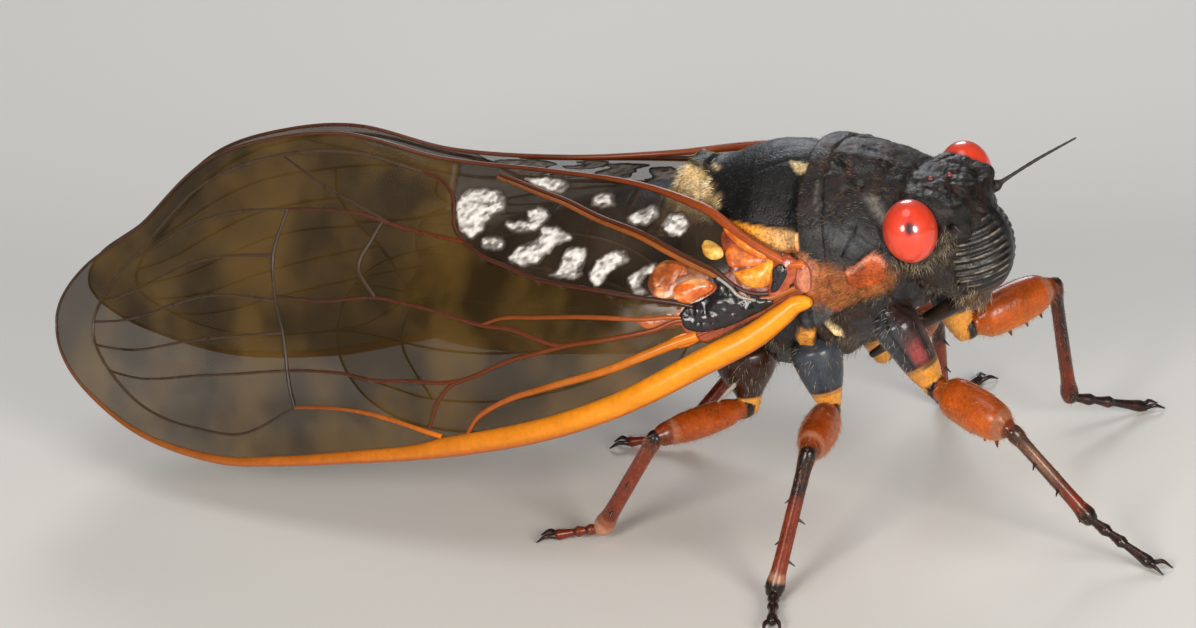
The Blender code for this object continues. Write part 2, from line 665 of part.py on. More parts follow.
def settle_frame():
    """Move the whole model so that its box stands centred on the floor."""
    points = [v.co for obj in bpy.data.objects for v in obj.data.vertices]
    low = [min(p[i] for p in points) for i in range(3)]
    high = [max(p[i] for p in points) for i in range(3)]
    move = Vector((-(low[0] + high[0]) / 2, -(low[1] + high[1]) / 2, -low[2]))
    for obj in bpy.data.objects:
        for v in obj.data.vertices:
            v.co += move
        obj.data.update()
    print("shift mm", [round(c / MM, 3) for c in move],
          "size mm", [round((h - l) / MM, 2) for l, h in zip(low, high)])


build()
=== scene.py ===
"""Periodical cicada at rest: cuticle, eyes, clear wings, veins and hair over the solids.

Shapes are worked out in millimetres in the body frame: +X runs forward along the back,
+Y to the animal's left, +Z up, from the tip of the face. place() turns that frame onto
the floor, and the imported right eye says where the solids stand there.
"""
import math
import bpy
import bmesh
import numpy as np
from mathutils import Matrix, Vector, noise
from mathutils.geometry import delaunay_2d_cdt


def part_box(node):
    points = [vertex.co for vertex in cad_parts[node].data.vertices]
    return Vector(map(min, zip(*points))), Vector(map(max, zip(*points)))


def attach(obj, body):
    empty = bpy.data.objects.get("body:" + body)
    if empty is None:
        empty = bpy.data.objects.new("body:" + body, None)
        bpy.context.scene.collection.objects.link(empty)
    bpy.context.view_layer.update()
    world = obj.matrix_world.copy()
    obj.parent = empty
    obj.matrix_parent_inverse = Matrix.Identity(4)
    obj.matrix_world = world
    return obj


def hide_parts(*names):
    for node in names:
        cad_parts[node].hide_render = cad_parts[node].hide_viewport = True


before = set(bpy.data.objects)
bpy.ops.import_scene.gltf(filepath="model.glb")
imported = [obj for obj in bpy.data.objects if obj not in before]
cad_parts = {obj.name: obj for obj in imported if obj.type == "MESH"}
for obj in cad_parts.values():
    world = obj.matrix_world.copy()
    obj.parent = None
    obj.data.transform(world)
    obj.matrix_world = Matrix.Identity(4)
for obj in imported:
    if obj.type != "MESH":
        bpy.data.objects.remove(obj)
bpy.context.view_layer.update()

MM = 0.001
CHITIN_IOR, FILM_IOR = 1.54, 1.5
PITCH = math.radians(6.1)      # the body is raised at the head
FLOOR = -12.4                  # floor below the face tip after the pitch

# ---- named sizes, as in the source of the solids ----------------------------------
HEAD = [(-3.45, 2.9, 3.05, -1.9, .6), (-2.9, 3.0, 3.0, -2.15, .6),
        (-2.2, 2.75, 2.8, -2.3, .6), (-1.55, 2.3, 2.5, -2.2, .6),
        (-1.1, 1.75, 2.15, -1.7, .6), (-.85, 1.2, 1.7, -1.1, .5)]
THORAX = [(-3.75, 3.55, 3.3, -2.4, .4), (-4.6, 3.9, 3.75, -3.0, .3),
          (-5.5, 4.1, 4.1, -3.6, .2), (-6.5, 4.25, 4.35, -4.1, .2),
          (-7.3, 4.3, 4.5, -4.45, .2), (-7.6, 4.0, 4.45, -4.55, .2),
          (-8.6, 3.85, 4.55, -4.75, .2), (-9.8, 3.85, 4.45, -4.9, .2),
          (-11.0, 3.6, 4.2, -4.9, .1), (-12.4, 3.1, 3.75, -4.7, 0.),
          (-12.7, 2.9, 3.6, -4.6, 0.), (-13.4, 2.6, 3.4, -4.4, -.1),
          (-14.0, 2.4, 2.9, -4.2, -.2)]
ABDOMEN = [(-14.3, 3.3, 2.85, -3.9, -.5), (-16.0, 3.6, 2.9, -4.1, -.6),
           (-18.5, 3.6, 2.55, -4.1, -.7), (-21.5, 3.35, 2.0, -4.0, -.9),
           (-24.5, 2.65, 1.1, -3.7, -1.2), (-26.8, 1.6, 0., -3.2, -1.6),
           (-28.0, .7, -.95, -2.6, -1.75)]
SEGMENTS = [-14.3, -15.9, -17.7, -19.5, -21.3, -23.0, -24.6, -26.1, -28.0]
EYE_AT, EYE_R = (-2.79, 3.0, 1.616), (1.08, 1.15, 1.29)
NOSE_AT, NOSE_R = (-1.75, 0., -.3), (1.75, 1.6, 2.1)
FEELER_TIP = {"right": (.1, -4.6, 2.1), "left": (1.9, 3.9, 2.45)}

WING_ROOT, WING_LONG = -7.6, 37.1
WING = [(0., 4.5, -.95, 4.3, 1.35, .1), (.05, 5.25, -2.1, 3.95, 2.3, .3),
        (.095, 5.8, -2.7, 3.4, 3.1, .5), (.2, 6.85, -4.05, 1.65, 3.7, 1.5),
        (.315, 7.33, -5.0, .75, 4.14, 1.7), (.455, 7.4, -5.55, .48, 4.9, 1.),
        (.565, 6.98, -5.85, .46, 6.2, .7), (.665, 6.28, -6.2, .46, 6.22, .6),
        (.76, 5.53, -6.36, .46, 5.4, .5), (.875, 4.28, -5.62, .46, 2.55, .3),
        (.955, 3.15, -3.9, .76, 1.0, .1), (1., 1.65, -1.28, 1.65, -1.28, 0.)]
FILM = .05                     # mm, drawn thicker than the real film so that it holds
WAVE = .06                     # mm, how far the film buckles between the veins
HIND_INSET = 1.05              # mm, the hind wing lies this deep under the forewing
DARK_VEIN_END = .428           # how far along the wing the dark vein bounds the clear film
PATCH = 7                      # mottling of the cuticle is so many times its grain

LEGS = {
    "fore_right": [(-4.7, -2.6, -2.0), (-3.6, -2.4, -5.35), (.14, -3.9, -6.85),
                   (2.4, -3.4, -11.0), (4.94, -4.05, -12.7)],
    "mid_right": [(-8.4, -2.5, -3.0), (-8.2, -2.7, -6.1), (-7.4, -7.0, -6.05),
                  (-9.2, -9.2, -11.3), (-8.4, -11.4, -11.8)],
    "hind_right": [(-11.6, -2.3, -3.0), (-11.9, -2.5, -5.9), (-14.2, -6.7, -5.3),
                   (-18.4, -5.4, -9.9), (-20.5, -5.7, -10.2)],
    "fore_left": [(-4.6, 2.5, -2.0), (-4.05, 2.1, -4.95), (-1.2, 5.6, -4.6),
                  (-2.45, 7.4, -10.5), (-.4, 9.9, -12.6)],
    "mid_left": [(-8.4, 2.5, -3.0), (-8.2, 2.7, -6.1), (-7.4, 7.0, -6.05),
                 (-9.2, 9.2, -11.3), (-8.4, 11.4, -11.8)],
    "hind_left": [(-11.6, 2.3, -3.0), (-11.9, 2.5, -5.9), (-13.9, 6.8, -5.4),
                  (-18.7, 3.5, -9.9), (-21.2, 3.2, -10.1)],
}

# veins as places (s, q) on the wing, the radius in mm at both ends, the look
VEINS = [
    ("root", .07, .09, [(.0, .4), (.04, .3), (.08, .25), (.12, .225)]),
    ("radius", .22, .1, [(.112, .228), (.139, .22), (.162, .207), (.216, .18),
                         (.301, .165), (.343, .15), (.383, .11), (.40, .06)]),
    ("media", .12, .085, [(.1, .3), (.132, .335), (.16, .307), (.214, .3),
                          (.261, .303), (.295, .293), (.335, .28), (.38, .247),
                          (.418, .22), (.437, .167), (.45, .09)]),
    ("middle", .095, .07, [(.261, .303), (.279, .313), (.333, .387), (.373, .413),
                           (.439, .473), (.48, .497), (.519, .505), (.587, .487),
                           (.655, .513)]),
    ("middle", .085, .065, [(.40, .235), (.43, .233), (.474, .247), (.521, .247),
                            (.566, .267), (.613, .28), (.644, .285)]),
    ("orange", .12, .08, [(.1, .3), (.132, .353), (.174, .367), (.251, .407),
                          (.30, .42), (.345, .43), (.373, .413)]),
    ("dark", .13, .08, [(.07, .3), (.105, .38), (.129, .427), (.174, .467),
                        (.232, .513), (.298, .56), (.343, .615), (.38, .66),
                        (.406, .71), (.423, .767), (.43, .86), (.45, .925),
                        (.475, .94)]),
    ("middle", .085, .065, [(.406, .71), (.439, .727), (.505, .747), (.545, .76),
                            (.64, .775)]),
    ("claval", .19, .13, [(.0, .5), (.03, .43), (.06, .5), (.085, .607), (.113, .667),
                          (.139, .713), (.181, .773), (.235, .82), (.284, .88),
                          (.322, .913), (.352, .94), (.38, .965)]),
    ("fork", .12, .075, [(.434, .06), (.479, .107), (.523, .14), (.568, .16),
                         (.637, .172)]),
    ("band", .085, .07, [(.637, .172), (.643, .24), (.648, .4), (.657, .5),
                         (.66, .64), (.64, .775)]),
    ("tip", .08, .07, [(.519, .505), (.542, .593), (.526, .687), (.515, .748)]),
    ("tip", .075, .06, [(.475, .94), (.55, .945), (.65, .945), (.75, .93),
                        (.83, .905), (.895, .84), (.93, .7), (.943, .55),
                        (.94, .4), (.915, .25), (.87, .15), (.8, .11), (.72, .1),
                        (.637, .172)]),
    ("tip", .065, .05, [(.644, .285), (.73, .29), (.82, .29), (.92, .27)]),
    ("tip", .065, .05, [(.648, .4), (.74, .41), (.84, .42), (.94, .4)]),
    ("tip", .065, .05, [(.657, .5), (.75, .55), (.85, .57), (.943, .56)]),
    ("tip", .065, .05, [(.66, .64), (.75, .67), (.84, .70), (.93, .7)]),
    ("tip", .065, .05, [(.64, .775), (.73, .80), (.82, .83), (.88, .86)]),
    ("tip", .065, .05, [(.505, .747), (.58, .82), (.65, .94)]),
]
HIND_EDGE = [(.13, .25), (.16, .12), (.24, .07), (.34, .07), (.45, .10), (.54, .18),
             (.585, .32), (.58, .48), (.53, .62), (.44, .72), (.34, .76), (.25, .75),
             (.18, .66), (.14, .5)]
HIND_VEINS = [[(.14, .36), (.22, .2), (.34, .17), (.46, .2), (.54, .25), (.568, .26)],
              [(.14, .36), (.24, .32), (.36, .33), (.5, .38), (.586, .405)],
              [(.14, .36), (.24, .45), (.36, .5), (.48, .54), (.562, .545)],
              [(.14, .36), (.22, .55), (.32, .63), (.42, .67), (.46, .705)],
              [(.46, .2), (.5, .38), (.48, .54)]]

# the camera's axes in the body frame and its distance, matched to the photograph
VIEW_RIGHT, VIEW_UP = (.912, .356, -.2), (.044, .4, .916)
VIEW_FAR = 240.                # mm from the face tip
PIXELS_PER_MM = 25.            # at the face tip
FACE_PIXEL = (1010, 235)
PHOTO, SENSOR = (1196, 628), 36                    # pixels, mm


# ---- tools ------------------------------------------------------------------------
def linear(text):
    """A hex colour as linear numbers."""
    out = []
    for k in (1, 3, 5):
        c = int(text[k:k + 2], 16) / 255
        out.append(c / 12.92 if c <= .04045 else ((c + .055) / 1.055) ** 2.4)
    return np.array(out)


def turned(p):
    """Body frame in mm onto the floor frame in mm, before the shift."""
    p = np.atleast_2d(np.asarray(p, float))
    x, y, z = p.T
    return np.stack([x * math.cos(PITCH) - z * math.sin(PITCH), y,
                     x * math.sin(PITCH) + z * math.cos(PITCH) - FLOOR], 1)


eye_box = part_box("eye_right")
SHIFT = (np.array(eye_box[0]) + np.array(eye_box[1])) / 2 / MM \
    - turned((EYE_AT[0], -EYE_AT[1], EYE_AT[2]))[0]
SHIFT[1] = SHIFT[2] = 0.


def place(p):
    """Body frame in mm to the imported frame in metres."""
    return (turned(p) + SHIFT) * MM


def unplace(p):
    """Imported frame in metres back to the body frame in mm."""
    p = np.asarray(p, float) / MM - SHIFT
    x, y, z = p[:, 0], p[:, 1], p[:, 2] + FLOOR
    return np.stack([x * math.cos(PITCH) + z * math.sin(PITCH), y,
                     -x * math.sin(PITCH) + z * math.cos(PITCH)], 1)


def way(d):
    """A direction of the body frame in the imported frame."""
    x, y, z = d
    return Vector((x * math.cos(PITCH) - z * math.sin(PITCH), y,
                   x * math.sin(PITCH) + z * math.cos(PITCH)))


def eased(rows, at):
    """Values of a table at places along its first column, eased between rows."""
    rows = np.array(sorted(map(tuple, rows)), float)
    at = np.asarray(at, float)
    k = rows[:, 0]
    i = np.clip(np.searchsorted(k, at) - 1, 0, len(k) - 2)
    a, b = rows[i], rows[i + 1]
    before, after = rows[np.maximum(i - 1, 0)], rows[np.minimum(i + 2, len(k) - 1)]
    h = (b[:, :1] - a[:, :1])
    u = (at[:, None] - a[:, :1]) / h
    m0 = (b - before) / (b[:, :1] - before[:, :1]) * h
    m1 = (after - a) / (after[:, :1] - a[:, :1]) * h
    return ((2 * u ** 3 - 3 * u * u + 1) * a + (u ** 3 - 2 * u * u + u) * m0
            + (3 * u * u - 2 * u ** 3) * b + (u ** 3 - u * u) * m1)


def step(a, b, v):
    """0 before a and 1 past b, eased between."""
    t = np.clip((v - a) / (b - a), 0, 1)
    return t * t * (3 - 2 * t)


def hump(v, at, wide):
    """A round rise of 1 at a place, gone some widths away."""
    return np.exp(-((v - at) / wide) ** 2)


def piece(name, verts, faces, placed=True):
    """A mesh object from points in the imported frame, or in the body frame."""
    mesh = bpy.data.meshes.new(name)
    if not placed:
        verts = place(verts)
    mesh.from_pydata([tuple(v) for v in verts], [], [tuple(f) for f in faces])
    obj = bpy.data.objects.new(name, mesh)
    bpy.context.scene.collection.objects.link(obj)
    bm = bmesh.new()
    bm.from_mesh(mesh)
    bmesh.ops.recalc_face_normals(bm, faces=bm.faces)
    bm.to_mesh(mesh)
    bm.free()
    mesh.shade_smooth()
    return obj


def shell(rings):
    """Closed body through rings of equal count: vertices and faces."""
    rings = np.asarray(rings)
    m, n, _ = rings.shape
    verts = np.concatenate([rings.reshape(-1, 3), rings[:1].mean(1), rings[-1:].mean(1)])
    faces = []
    for k in range(m - 1):
        for i in range(n):
            j = (i + 1) % n
            faces.append((k * n + i, k * n + j, (k + 1) * n + j, (k + 1) * n + i))
    for i in range(n):
        j = (i + 1) % n
        faces.append((m * n, j, i))
        faces.append((m * n + 1, (m - 1) * n + i, (m - 1) * n + j))
    return verts, faces


def coords(obj):
    """A mesh's points as rows."""
    out = np.empty(len(obj.data.vertices) * 3)
    obj.data.vertices.foreach_get("co", out)
    return out.reshape(-1, 3)


def normals(obj):
    """A mesh's vertex normals as rows."""
    out = np.empty(len(obj.data.vertices) * 3)
    obj.data.vertices.foreach_get("normal", out)
    return out.reshape(-1, 3)


def unturned(d):
    """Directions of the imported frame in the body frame."""
    x, y, z = d.T
    return np.stack([x * math.cos(PITCH) + z * math.sin(PITCH), y,
                     -x * math.sin(PITCH) + z * math.cos(PITCH)], 1)


def store(obj, name, values, kind="FLOAT_COLOR"):
    """Keep a value for each vertex under a name that the materials read."""
    values = np.asarray(values, np.float32)
    attribute = obj.data.attributes.get(name) or \
        obj.data.attributes.new(name, kind, "POINT")
    if kind == "FLOAT_COLOR":
        if values.shape[1] == 3:
            values = np.concatenate([values, np.ones((len(values), 1))], 1)
        attribute.data.foreach_set("color", values.astype(np.float32).ravel())
    elif kind == "FLOAT_VECTOR":
        attribute.data.foreach_set("vector", values.ravel())
    else:
        attribute.data.foreach_set("value", values.ravel())


def unite(obj, others):
    """Join closed pieces to obj by one union, which uses them up."""
    group = bpy.data.collections.new("join")
    for other in others:
        group.objects.link(other)
    mod = obj.modifiers.new("join", "BOOLEAN")
    mod.operation, mod.solver, mod.operand_type = "UNION", "MANIFOLD", "COLLECTION"
    mod.collection = group
    make_real(obj)
    for other in others:
        bpy.data.objects.remove(other)
    bpy.data.collections.remove(group)


def gathered(name, parts, tints=None):
    """One object from closed parts of vertices and faces in the body frame."""
    verts, faces, inks = [], [], []
    for k, (v, f) in enumerate(parts):
        used = np.unique(np.concatenate([list(one) for one in f]))
        tint = tints[k] if tints is not None else None
        if len(used) < len(v):                     # leave out points that no face uses
            new = np.full(len(v), -1)
            new[used] = np.arange(len(used))
            tint = tint[used] if np.ndim(tint) == 2 else tint
            v, f = v[used], [tuple(new[list(one)]) for one in f]
        start = sum(map(len, verts))
        faces += [tuple(i + start for i in one) for one in f]
        verts.append(v)
        if tints is not None:
            inks.append(tint if np.ndim(tint) == 2 else np.tile(tint, (len(v), 1)))
    obj = piece(name, np.concatenate(verts), faces, placed=False)
    if tints is not None:
        store(obj, "tint", np.concatenate(inks))
    return obj


def make_real(obj):
    """Turn a piece's modifiers into its mesh."""
    deps = bpy.context.evaluated_depsgraph_get()
    mesh = bpy.data.meshes.new_from_object(obj.evaluated_get(deps))
    obj.modifiers.clear()
    obj.data = mesh
    mesh.shade_smooth()


def add(tree, kind, links=None, **settings):
    """One node with its settings and what each of its inputs takes."""
    node = tree.nodes.new(kind)
    for key, value in settings.items():
        setattr(node, key, value)
    for key, source in (links or {}).items():
        socket = node.inputs[key] if isinstance(key, int) else \
            next(s for s in node.inputs if s.name == key and s.enabled)
        if isinstance(source, bpy.types.Node):
            source = next(s for s in source.outputs if s.enabled)
        if isinstance(source, bpy.types.NodeSocket):
            tree.links.new(source, socket)
        else:
            socket.default_value = source
    return node


def finish_with(obj, material, solids=()):
    """Give a piece its material and body, and hide the solids it replaces."""
    obj.data.materials.clear()
    obj.data.materials.append(material)
    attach(obj, "root")
    if solids:
        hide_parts(*solids)
    return obj


# ---- materials --------------------------------------------------------------------
def new_look(name):
    """A new material, its nodes, its main shader and the place on the model."""
    mat = bpy.data.materials.new(name)
    mat.use_nodes = True
    tree = mat.node_tree
    where = add(tree, "ShaderNodeTexCoord").outputs["Object"]
    return mat, tree, tree.nodes["Principled BSDF"], where


def set_gloss(bsdf, **values):
    """Plain numbers of the main shader, by the names of its sockets."""
    for key, value in values.items():
        bsdf.inputs[key.replace("_", " ")].default_value = value


def two_tone(tree, bsdf, mix, stops, dark, light):
    """The surface's colour runs from one tone to another as the pattern says."""
    ramp = add(tree, "ShaderNodeValToRGB", {"Fac": mix.outputs[0]})
    for stop, at, colour in zip(ramp.color_ramp.elements, stops, (dark, light)):
        stop.position, stop.color = at, (*colour, 1)
    tree.links.new(ramp.outputs[0], bsdf.inputs["Base Color"])


def cuticle(name, rough, grain_mm, deep_mm, coat=0., speckle=.25, tint=None, fold_mm=0.,
            shine=.5, coat_rough=.15):
    """Insect cuticle: hard waxy chitin, cast in one skin over the body.

    Gives a dark satin gloss that breaks up on fine pits and shallow wrinkles. The
    colour is painted on the mesh, the pits and mottling come from the real grain size.
    """
    mat, tree, bsdf, where = new_look(name)
    grain = add(tree, "ShaderNodeTexNoise", {"Vector": where, "Detail": 3.,
                                             "Scale": 1 / (grain_mm * MM),
                                             "Roughness": .6})
    patch = add(tree, "ShaderNodeTexNoise", {"Vector": where, "Detail": 3.,
                                             "Scale": 1 / (grain_mm * PATCH * MM)})
    if tint is None:
        colour = add(tree, "ShaderNodeAttribute", attribute_name="tint").outputs["Color"]
    else:
        colour = add(tree, "ShaderNodeRGB").outputs[0]
        colour.default_value = (*linear(tint), 1)
    both = add(tree, "ShaderNodeMath", {0: grain.outputs[0], 1: patch.outputs[0]},
               operation="MULTIPLY")
    level = add(tree, "ShaderNodeMapRange",
                {"Value": both, "From Min": .14, "From Max": .38,
                 "To Min": 1 - speckle, "To Max": 1 + speckle})
    shade = add(tree, "ShaderNodeVectorMath", {0: colour, "Scale": level.outputs[0]},
                operation="SCALE")
    tree.links.new(shade.outputs[0], bsdf.inputs["Base Color"])
    gloss = add(tree, "ShaderNodeMapRange", {"Value": patch.outputs[0], "From Min": .35,
                                             "From Max": .65, "To Min": rough * .8,
                                             "To Max": rough * 1.3})
    tree.links.new(gloss.outputs[0], bsdf.inputs["Roughness"])
    relief = add(tree, "ShaderNodeBump", {"Height": grain.outputs[0], "Strength": .6,
                                          "Distance": deep_mm * MM})
    if fold_mm:
        folds = add(tree, "ShaderNodeBump", {"Height": patch.outputs[0], "Strength": .6,
                                             "Distance": fold_mm * MM})
        tree.links.new(folds.outputs[0], relief.inputs["Normal"])
    tree.links.new(relief.outputs[0], bsdf.inputs["Normal"])
    set_gloss(bsdf, Coat_Weight=coat, Coat_Roughness=coat_rough,
              Specular_IOR_Level=shine, IOR=CHITIN_IOR)
    return mat


def film(name, colour, alpha, rough, shine=.5):
    """Wing membrane: a clear chitin film a few hundredths of a millimetre thick.

    It shows as a brown tint, darker where a call gives painted shade, with wrinkled gloss,
    like cellophane.
    """
    mat, tree, bsdf, where = new_look(name)
    crease_mm, stain_mm, deep_mm = 1.3, 3.2, .12
    crease = add(tree, "ShaderNodeTexNoise", {"Vector": where, "Detail": 0.,
                                              "Scale": 1 / (crease_mm * MM),
                                              "Roughness": .5})
    hue = add(tree, "ShaderNodeTexNoise", {"Vector": where, "Detail": 3.,
                                           "Scale": 1 / (stain_mm * MM)})
    two_tone(tree, bsdf, hue, (.38, .64), linear(colour) * .4, linear(colour) * 1.4)
    relief = add(tree, "ShaderNodeBump", {"Height": crease.outputs[0], "Strength": .6,
                                          "Distance": deep_mm * MM})
    tree.links.new(relief.outputs[0], bsdf.inputs["Normal"])
    set_gloss(bsdf, Roughness=rough, IOR=FILM_IOR, Specular_IOR_Level=shine, Alpha=alpha)
    return mat


def silver_sheen():
    """Painted reflection: near-white colour where the wing clings to the back, standing in
    for the light it mirrors, creased like crumpled foil.
    """
    mat, tree, bsdf, where = new_look("silver_sheen_on_wing")
    crease_mm, deep_mm = .2, .06
    crease = add(tree, "ShaderNodeTexNoise", {"Vector": where, "Detail": 2.,
                                              "Scale": 1 / (crease_mm * MM),
                                              "Roughness": .5})
    tone = add(tree, "ShaderNodeMapRange", {"Value": crease.outputs[0], "From Min": .3,
                                            "From Max": .6, "To Min": .7, "To Max": 1.})
    ink = add(tree, "ShaderNodeAttribute", attribute_name="tint")
    shade = add(tree, "ShaderNodeVectorMath",
                {0: ink.outputs["Color"], "Scale": tone.outputs[0]}, operation="SCALE")
    tree.links.new(shade.outputs[0], bsdf.inputs["Base Color"])
    relief = add(tree, "ShaderNodeBump", {"Height": crease.outputs[0], "Strength": .7,
                                          "Distance": deep_mm * MM})
    tree.links.new(relief.outputs[0], bsdf.inputs["Normal"])
    set_gloss(bsdf, Roughness=.36)
    return mat


def hair_look(name, dark, light):
    """Fine chitin hairs: each takes a shade between two, with a dull silky gloss."""
    mat, tree, bsdf, where = new_look(name)
    tuft_mm = .35                                  # hairs this near share a shade
    mix = add(tree, "ShaderNodeTexNoise", {"Vector": where, "Detail": 2.,
                                           "Scale": 1 / (tuft_mm * MM)})
    two_tone(tree, bsdf, mix, (.36, .62), linear(dark), linear(light))
    set_gloss(bsdf, Roughness=.5)
    return mat


body_cuticle = cuticle("black_body_cuticle", .4, .11, .065, speckle=.6, fold_mm=.05,
                       shine=.38)
face_cuticle = cuticle("ridged_face_cuticle", .34, .1, .04, speckle=.5, shine=.5)
leg_cuticle = cuticle("amber_leg_cuticle", .28, .14, .02, coat=.2, speckle=.28, shine=.32)
vein_cuticle = cuticle("vein_cuticle", .3, .25, .012, speckle=.13, shine=.34)
root_cuticle = cuticle("wing_root_cuticle", .28, .16, .02, coat=.25, speckle=.35,
                       fold_mm=.05)
feeler_cuticle = cuticle("feeler_cuticle", .45, .1, .02, tint="#1A1411")
eye_lens = cuticle("eye_lens_cuticle", .4, .05, .003, coat=1., speckle=.06, coat_rough=.05)
# painted shade in part: the forewing films, the smoky one most, are tinted darker than the
# faint amber of the clear membrane, for the shade seen through the wing
wing_film = film("amber_and_shade_wing_film", "#56401A", .62, .24, .36)
clear_film = film("clear_wing_film", "#483A2C", .36, .2)
hind_film = film("clear_hind_film", "#5E4A2C", .18, .4, .2)
painted_reflection_finish = silver_sheen()
golden_hair = hair_look("golden_hair", "#7A5020", "#DDAA5C")
grey_hair = hair_look("grey_hair", "#32291F", "#94815F")
cream_hair = hair_look("cream_hair", "#B8925A", "#FFF0CC")
rust_hair = hair_look("rust_hair", "#8A4418", "#D8904A")
dark_hair = hair_look("dark_hair", "#1E1712", "#54432E")
pale_hair = hair_look("pale_hair", "#6A5A44", "#C4B294")


# ---- body skin --------------------------------------------------------------------
def round_body(rows, xs, turns, relief):
    """Rings of a body section: two half ellipses that meet at the widest place."""
    r = eased(rows, xs)
    a = np.linspace(0, 2 * math.pi, turns, endpoint=False)[None, :]
    x, half, top, bottom, wide = [c[:, None] for c in r.T]
    high = np.where(np.sin(a) > 0, top - wide, wide - bottom)
    y, z = half * np.cos(a), high * np.sin(a)
    t = np.degrees(np.abs(np.arctan2(np.cos(a), np.sin(a)))) + 0 * x
    grow = 1 + relief(x + 0 * a, t) / np.maximum(np.hypot(y, z), .3)
    return np.stack([x + 0 * a, y * grow, wide + z * grow], 2)


def swell(rings, amount):
    """Rings moved along their own normals by amount(places)."""
    n = np.cross(np.roll(rings, -1, 1) - np.roll(rings, 1, 1), np.gradient(rings, axis=0))
    n /= np.linalg.norm(n, axis=2)[..., None] + 1e-9
    n *= np.sign(((rings - rings.mean(1, keepdims=True)) * n).sum(2))[..., None]
    return rings + n * amount(rings)[..., None]


def ripple(p, size, octaves=3):
    """Smooth random height between about -1 and 1, with bumps of a size in mm."""
    flat = [noise.fractal(Vector(v), 1., 2., octaves) for v in p.reshape(-1, 3) / size]
    return np.array(flat).reshape(p.shape[:-1])


def line_dist(x, t, ax, at, bx, bt):
    """Distance in mm from a line drawn on the back from (x, degrees) to (x, degrees)."""
    u, v, bu, bv = x - ax, (t - at) * .07, bx - ax, (bt - at) * .07
    k = np.clip((u * bu + v * bv) / (bu * bu + bv * bv), 0, 1)
    return np.hypot(u - k * bu, v - k * bv)


def rod_dist(p, a, b):
    """Distance in mm from a straight line in space, the same on both sides."""
    p = p * [1, 0, 1] + np.abs(p) * [0, 1, 0] - a
    b = np.array(b) - a
    k = np.clip((p @ b) / (b @ b), 0, 1)
    return np.linalg.norm(p - k[..., None] * b, axis=-1)


def inside(x, t, outline, soft, rough=0.):
    """1 within an outline of places (x, degrees) on the back, eased over soft mm."""
    u, v = x, t * .07
    ring = np.array(outline) * [1, .07]
    far, odd = np.full(x.shape, 1e9), np.zeros(x.shape, bool)
    for (ax, ay), (bx, by) in zip(ring, np.roll(ring, -1, 0)):
        k = np.clip(((u - ax) * (bx - ax) + (v - ay) * (by - ay))
                    / ((bx - ax) ** 2 + (by - ay) ** 2), 0, 1)
        far = np.minimum(far, np.hypot(u - ax - k * (bx - ax), v - ay - k * (by - ay)))
        cross = (ay > v) != (by > v)
        odd ^= cross & (u < ax + (v - ay) * (bx - ax) / (by - ay + 1e-12))
    far = np.where(odd, far, -far) + rough
    return step(-soft, soft, far)


# outlines on the back, as places (x, degrees from the top)
STRIP = [(-10.57, 56), (-9.44, 60), (-8.55, 63), (-7.28, 64), (-7.28, 72), (-8.0, 76),
         (-8.65, 77), (-9.47, 68), (-10.23, 61)]            # yellow plate by the wing
PLATE = [(-5.4, 85), (-5.05, 84), (-4.64, 80), (-4.26, 77), (-3.96, 81), (-3.78, 88),
         (-4.02, 98), (-4.5, 100), (-5.05, 99), (-5.4, 93)]     # orange plate, eye side
FUZZ = [(-7.28, 75), (-6.7, 78), (-6.18, 82), (-5.4, 86), (-3.82, 90), (-3.6, 104),
        (-4.2, 112), (-4.78, 113), (-5.6, 112), (-6.66, 109), (-7.3, 103), (-7.8, 96),
        (-7.9, 83)]                                         # orange fuzz below the plate
HINGE = [(-7.8, 76), (-6.97, 76), (-6.7, 85), (-7.0, 96), (-8.0, 98)]   # rose skin
SHEEN = [(-4.75, 38), (-4.3, 39), (-3.95, 44), (-3.72, 51), (-3.9, 57), (-4.2, 50),
         (-4.55, 44)]                                       # pale gleam behind the eye
BLUE = [(-6.1, 62), (-5.29, 57), (-4.5, 62), (-4.2, 72), (-5.0, 75),
        (-5.9, 72)]                                         # painted sheen: grey-blue gleam below it
AMBER = [(-8.75, 123), (-8.3, 118), (-7.75, 122), (-8.2, 133), (-8.9, 138)]
SLIVER = [(-7.2, 117), (-6.9, 119), (-6.62, 128), (-6.7, 136), (-6.95, 130)]
SLATE = [(-8.2, 112), (-7.5, 103), (-6.7, 102), (-6.5, 112), (-7.1, 119),
         (-8.0, 118)]                                       # three small side plates
MARK = [(-8.3, 18), (-7.8, 18), (-7.25, 23), (-7.28, 29), (-7.9, 26)]   # cream wedge
GOLD = [(-14.4, 4), (-13.9, 4), (-12.66, 9), (-12.1, 20), (-11.53, 34), (-11.1, 47),
        (-11.7, 53), (-12.9, 51), (-14.4, 46)]              # cream hair on the scutellum


def knob(x, t):
    """The rounded black end of the back between the wings."""
    return hump(np.hypot((x + 13.1) / .95, t / 25), 0, 1.)


def bare_end(x, t):
    """Where the cream hair leaves the end of the back black."""
    return hump(np.hypot((x + 12.5) / .9, t / 13), 0, 1.)


